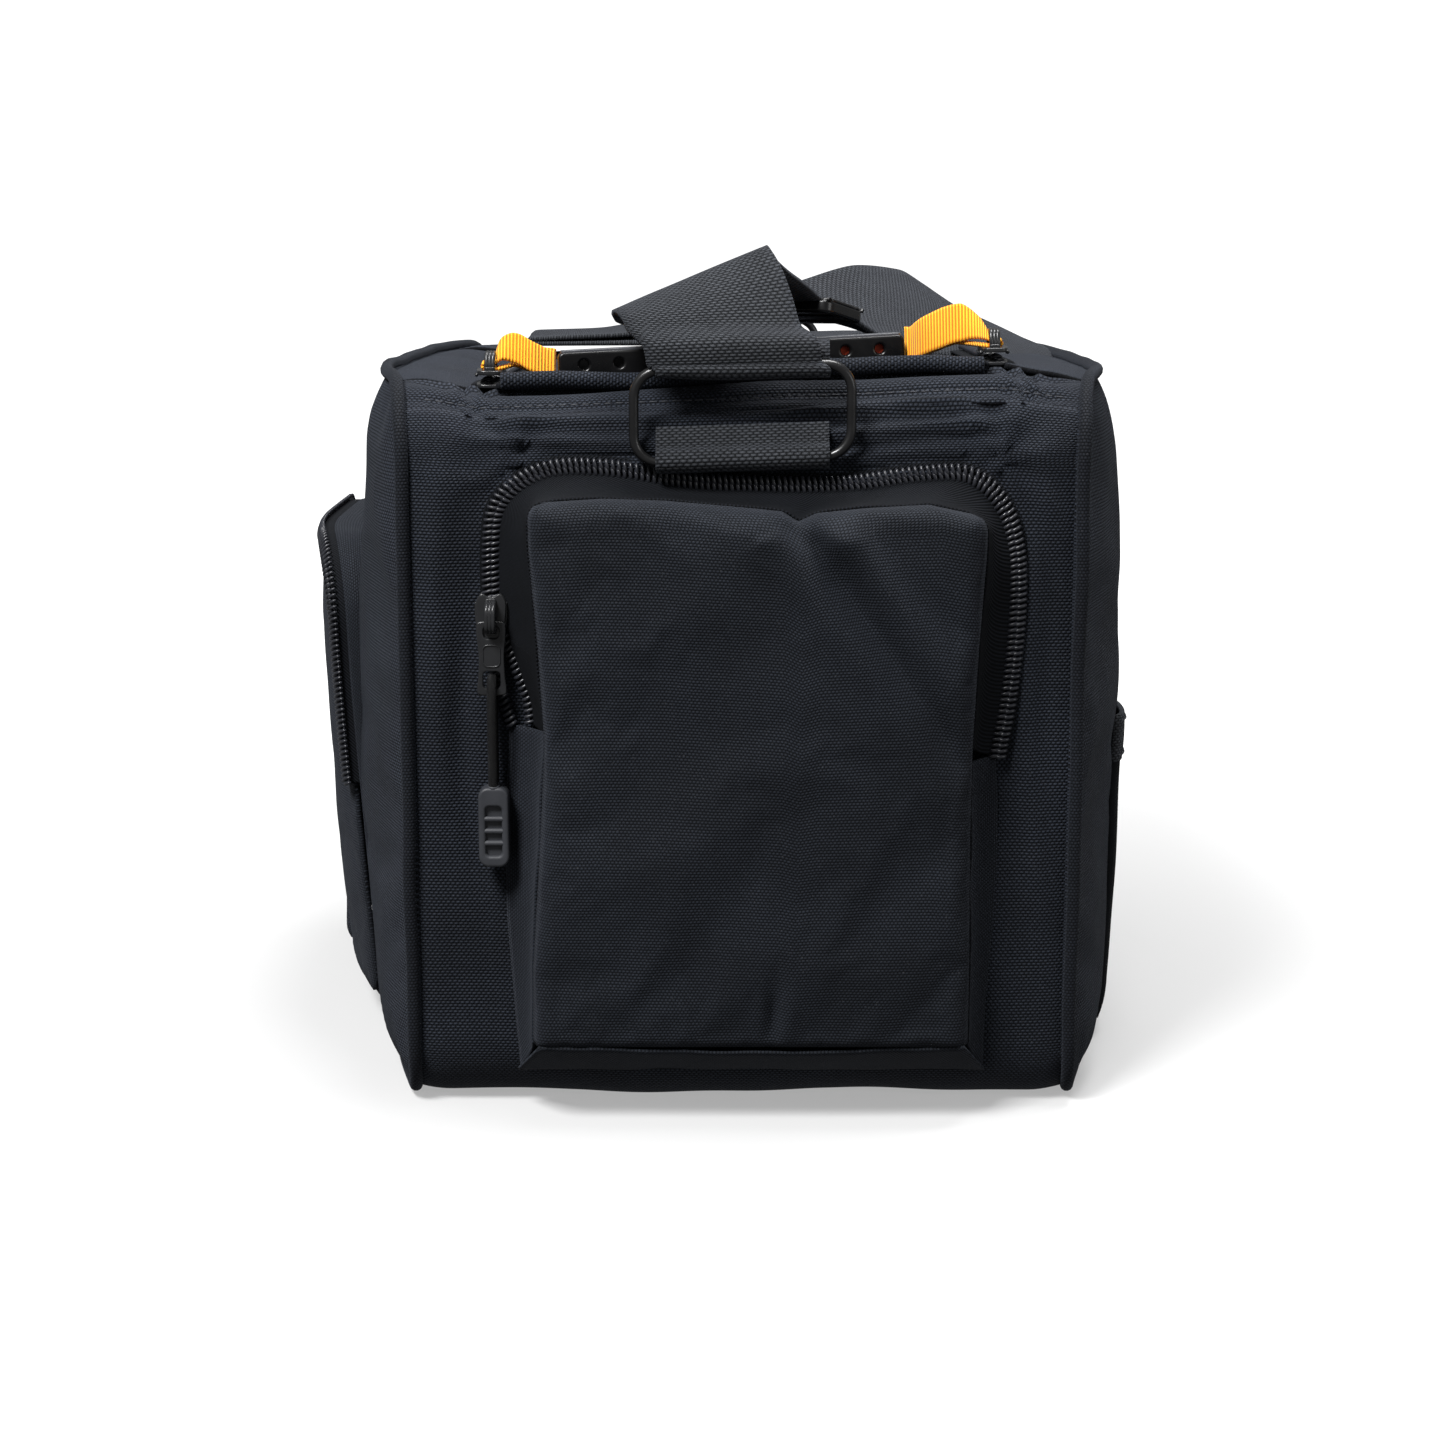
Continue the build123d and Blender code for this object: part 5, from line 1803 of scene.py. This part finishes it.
# centre line and width direction, from there to where the two halves meet
frontRoute = [(tuple((np.array(a) + b) / 2), tuple(np.array(b) - a)) for a, b in frontEdges] + [
    ((0.0030, -0.0860, 0.2478), (0.84, -0.5, 0.1)),
    ((0.016, -0.0690, 0.2440), (0.82, -0.55, -0.05)),
    ((0.034, -0.0520, 0.2430), (0.7, -0.6, -0.35)),
    ((0.052, -0.0340, 0.2440), (0.5, -0.66, -0.55)),
    ((0.070, -0.0120, 0.2405), (0.5, -0.62, -0.6)),
    ((0.086, 0.0120, 0.2350), (0.68, -0.45, -0.55)),
    ((0.0960, 0.0360, 0.2335), (0.88, -0.1, -0.4)),
]
rearRoute = [
    ((0.0960, 0.0360, 0.2335), (0.88, -0.1, -0.4)),
    ((0.0980, 0.0600, 0.2315), (0.93, 0.2, -0.3)),
    ((0.0900, 0.0860, 0.2300), (0.8, 0.55, -0.15)),
    ((0.0700, 0.1060, 0.2288), (0.5, 0.85, -0.08)),
    ((0.0400, 0.1160, 0.2276), (0.2, 1, 0)),
    ((0.0000, 0.1200, 0.2265), (0, 1, 0)),
    ((-0.0440, 0.1210, 0.2257), (0, 1, 0)),
    ((-0.0740, 0.1210, 0.2252), (0, 1, 0)),
    ((-0.0820, 0.1210, 0.2257), (0, 1, 0)),
    ((-0.0825, 0.1210, 0.2270), (0, 1, 0)),
    ((-0.0740, 0.1215, 0.2276), (0, 1, 0)),
    ((-0.0480, 0.1240, 0.2288), (-0.2, 1, 0)),
    ((-0.0240, 0.1320, 0.2320), (-0.5, 0.85, 0)),
    ((-0.0070, 0.1440, 0.2365), (-0.85, 0.5, 0)),
    ((-0.0010, 0.1525, 0.2384), (-1, 0.1, 0)),
    ((0.0, 0.1560, 0.2368), (-1, 0, 0)),
    ((0.0, 0.1566, 0.2337), (-1, 0, 0)),
]


# the end turned round the ring's bar and sewn back under itself, 30 mm long
def loopRoute(side, width):
    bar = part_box("near_ring" if side < 0 else "far_ring")
    y = (bar[0].y + bar[1].y) / 2
    z = bar[1].z - ringSettings["wire"]
    near = side * 0.0024
    turn = [(y + near * math.cos(a), z - 0.0024 * math.sin(a)) for a in np.linspace(0.15, math.pi - 0.1, 7)]
    if side < 0:
        under = [(y + 0.0024, z + 0.0028), (y + 0.0038, z + 0.0055), (y + 0.0070, z + 0.0070),
                 (y + 0.0130, z + 0.0068)]
    else:
        under = [(y - 0.0024, z + 0.0015), (y - 0.0040, z + 0.0022), (y - 0.0085, z + 0.0012),
                 (y - 0.0170, z - 0.0025)]
    return [((0.0, py, pz), width) for py, pz in turn + under]


def webSheet(name, keys, count, cols=15):
    places = smoothPath([k[0] for k in keys], count)
    run = np.array([0.0] + [math.dist(a[0], b[0]) for a, b in zip(keys, keys[1:])]).cumsum()
    share = np.linspace(0, run[-1], count)
    units = [Vector(k[1]).normalized() for k in keys]
    dirs = np.column_stack([np.interp(share, run, [unit[a] for unit in units]) for a in range(3)])
    for _ in range(6):
        dirs[1:-1] = 0.25 * dirs[:-2] + 0.5 * dirs[1:-1] + 0.25 * dirs[2:]
    dirs /= np.linalg.norm(dirs, axis=1, keepdims=True)
    tangent = np.gradient(places, axis=0)
    tangent /= np.linalg.norm(tangent, axis=1, keepdims=True)
    normal = np.cross(dirs, tangent)
    points = np.zeros((count, cols, 3))
    for c in range(cols):
        f = 2 * c / (cols - 1) - 1
        bow = 0.0007 * (1 - f * f)
        ripple = np.array([0.0006 * noise.noise(Vector((s * 20, f, len(name)))) for s in share])
        points[:, c] = places + dirs * (f * strapSettings["width"] / 2) + normal * (bow + ripple)[:, None]
    piece = gridSheet(name, points, finish["webbing"])
    return piece, lengthOf(places), places, dirs, normal


# the adjuster's three-bar glide, threaded on the webbing
def makeGlide(place, across, up):
    put = axes(Vector(place), tuple(across), tuple(np.cross(up, across)))
    g = glideSettings
    frameLine = roundedOutline(g["length"], g["height"], g["corner"])
    slots = [roundedOutline(0.0535, g["slot"], 0.0014, 0, y)[::-1] for y in (-g["slotAt"], g["slotAt"])]
    glide = plate("strapGlide", [frameLine] + slots, g["thick"], 0.0009, put, finish["vinyl"], 3)
    rib = [(x, y, 0.0021) for x, y in roundedOutline(0.0565, 0.0205, 0.003)]
    ribPath = transformed(smoothPath(rib, 90, True)[:-1], put)
    line = tube("glideRib", ribPath, 0.0007, finish["vinyl"], 8, True)
    glide = joinAll("strapGlide", [glide, line])
    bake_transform(glide)


def makeStrap():
    frontKeys = loopRoute(-1, (1, 0, 0))[::-1] + frontRoute
    piece, length, places, dirs, normal = webSheet("strapFront", frontKeys, 220)
    thicken(piece, strapSettings["thick"], 0.0)
    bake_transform(piece)
    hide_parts("strap_front")
    print("front strap length", round(length, 3))
    at = int(np.argmin(np.linalg.norm(places - np.array(strapSettings["glideAt"]), axis=1)))
    makeGlide(places[at], dirs[at], normal[at] * (1 if normal[at][2] > 0 else -1))
    rearKeys = rearRoute + loopRoute(1, (-1, 0, 0))
    rear, rearLength = webSheet("strapRear", rearKeys, 330)[:2]
    thicken(rear, strapSettings["thick"], 0.0)
    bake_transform(rear)
    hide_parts("strap_rear")
    print("rear strap length", round(rearLength, 3))


def stitchRow(name, path, spacing, out, body):
    row = repeatOn(name, path, stitchShape, spacing, 0.001, out, finish["thread"])
    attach(row, body)
    return row


for side, name in ((-1, "near"), (1, "far")):
    makeRing(name, name + "_ring", side)
    makeTab(name, name + "_ring_tab", side)
makeStrap()


def makeStitching():
    xs = np.linspace(-0.096, 0.096, 90)
    y, z, ny, _ = outlineAt(mark["nearSeam"] + 0.003)
    row = [(x, y - 0.0012 + ny * 0.0004, lifted(x, y, z) + 0.0006) for x in xs]
    stitchRow("rimStitches", row, 0.0034, (0.0, -0.9, 0.4), "bag")
    xs = np.linspace(-0.071, 0.071, 70)
    row = [deckPoint(x, lid["nearY"] + 0.0045, lidDetail(x, lid["nearY"] + 0.0045) + 0.0002) for x in xs]
    stitchRow("hemStitches", row, 0.0034, (0.0, 0.0, 1.0), "lid")
    n = netSettings
    for k, z in enumerate((n["top"] - 0.002, n["top"] - n["binding"] + 0.002)):
        ys = np.linspace(-n["half"] + 0.002, n["half"] - 0.002, 90)
        row = [(netX(y, z) + 0.0018, y, z - 0.0025 * (1 - (y / n["half"]) ** 2)) for y in ys]
        stitchRow("bindingStitches%d" % k, row, 0.0034, (1.0, 0.0, 0.0), "bag")


makeStitching()
print("stitching")

# pieces whose CAD shape is right keep it
for name, kind in (("base_board", "board"), ("ball_cup", "foam")):
    kept = nodes[name]
    kept.data.materials.clear()
    kept.data.materials.append(finish[kind])

for shape in patterns:
    bpy.data.objects.remove(shape)
print("patterns removed")
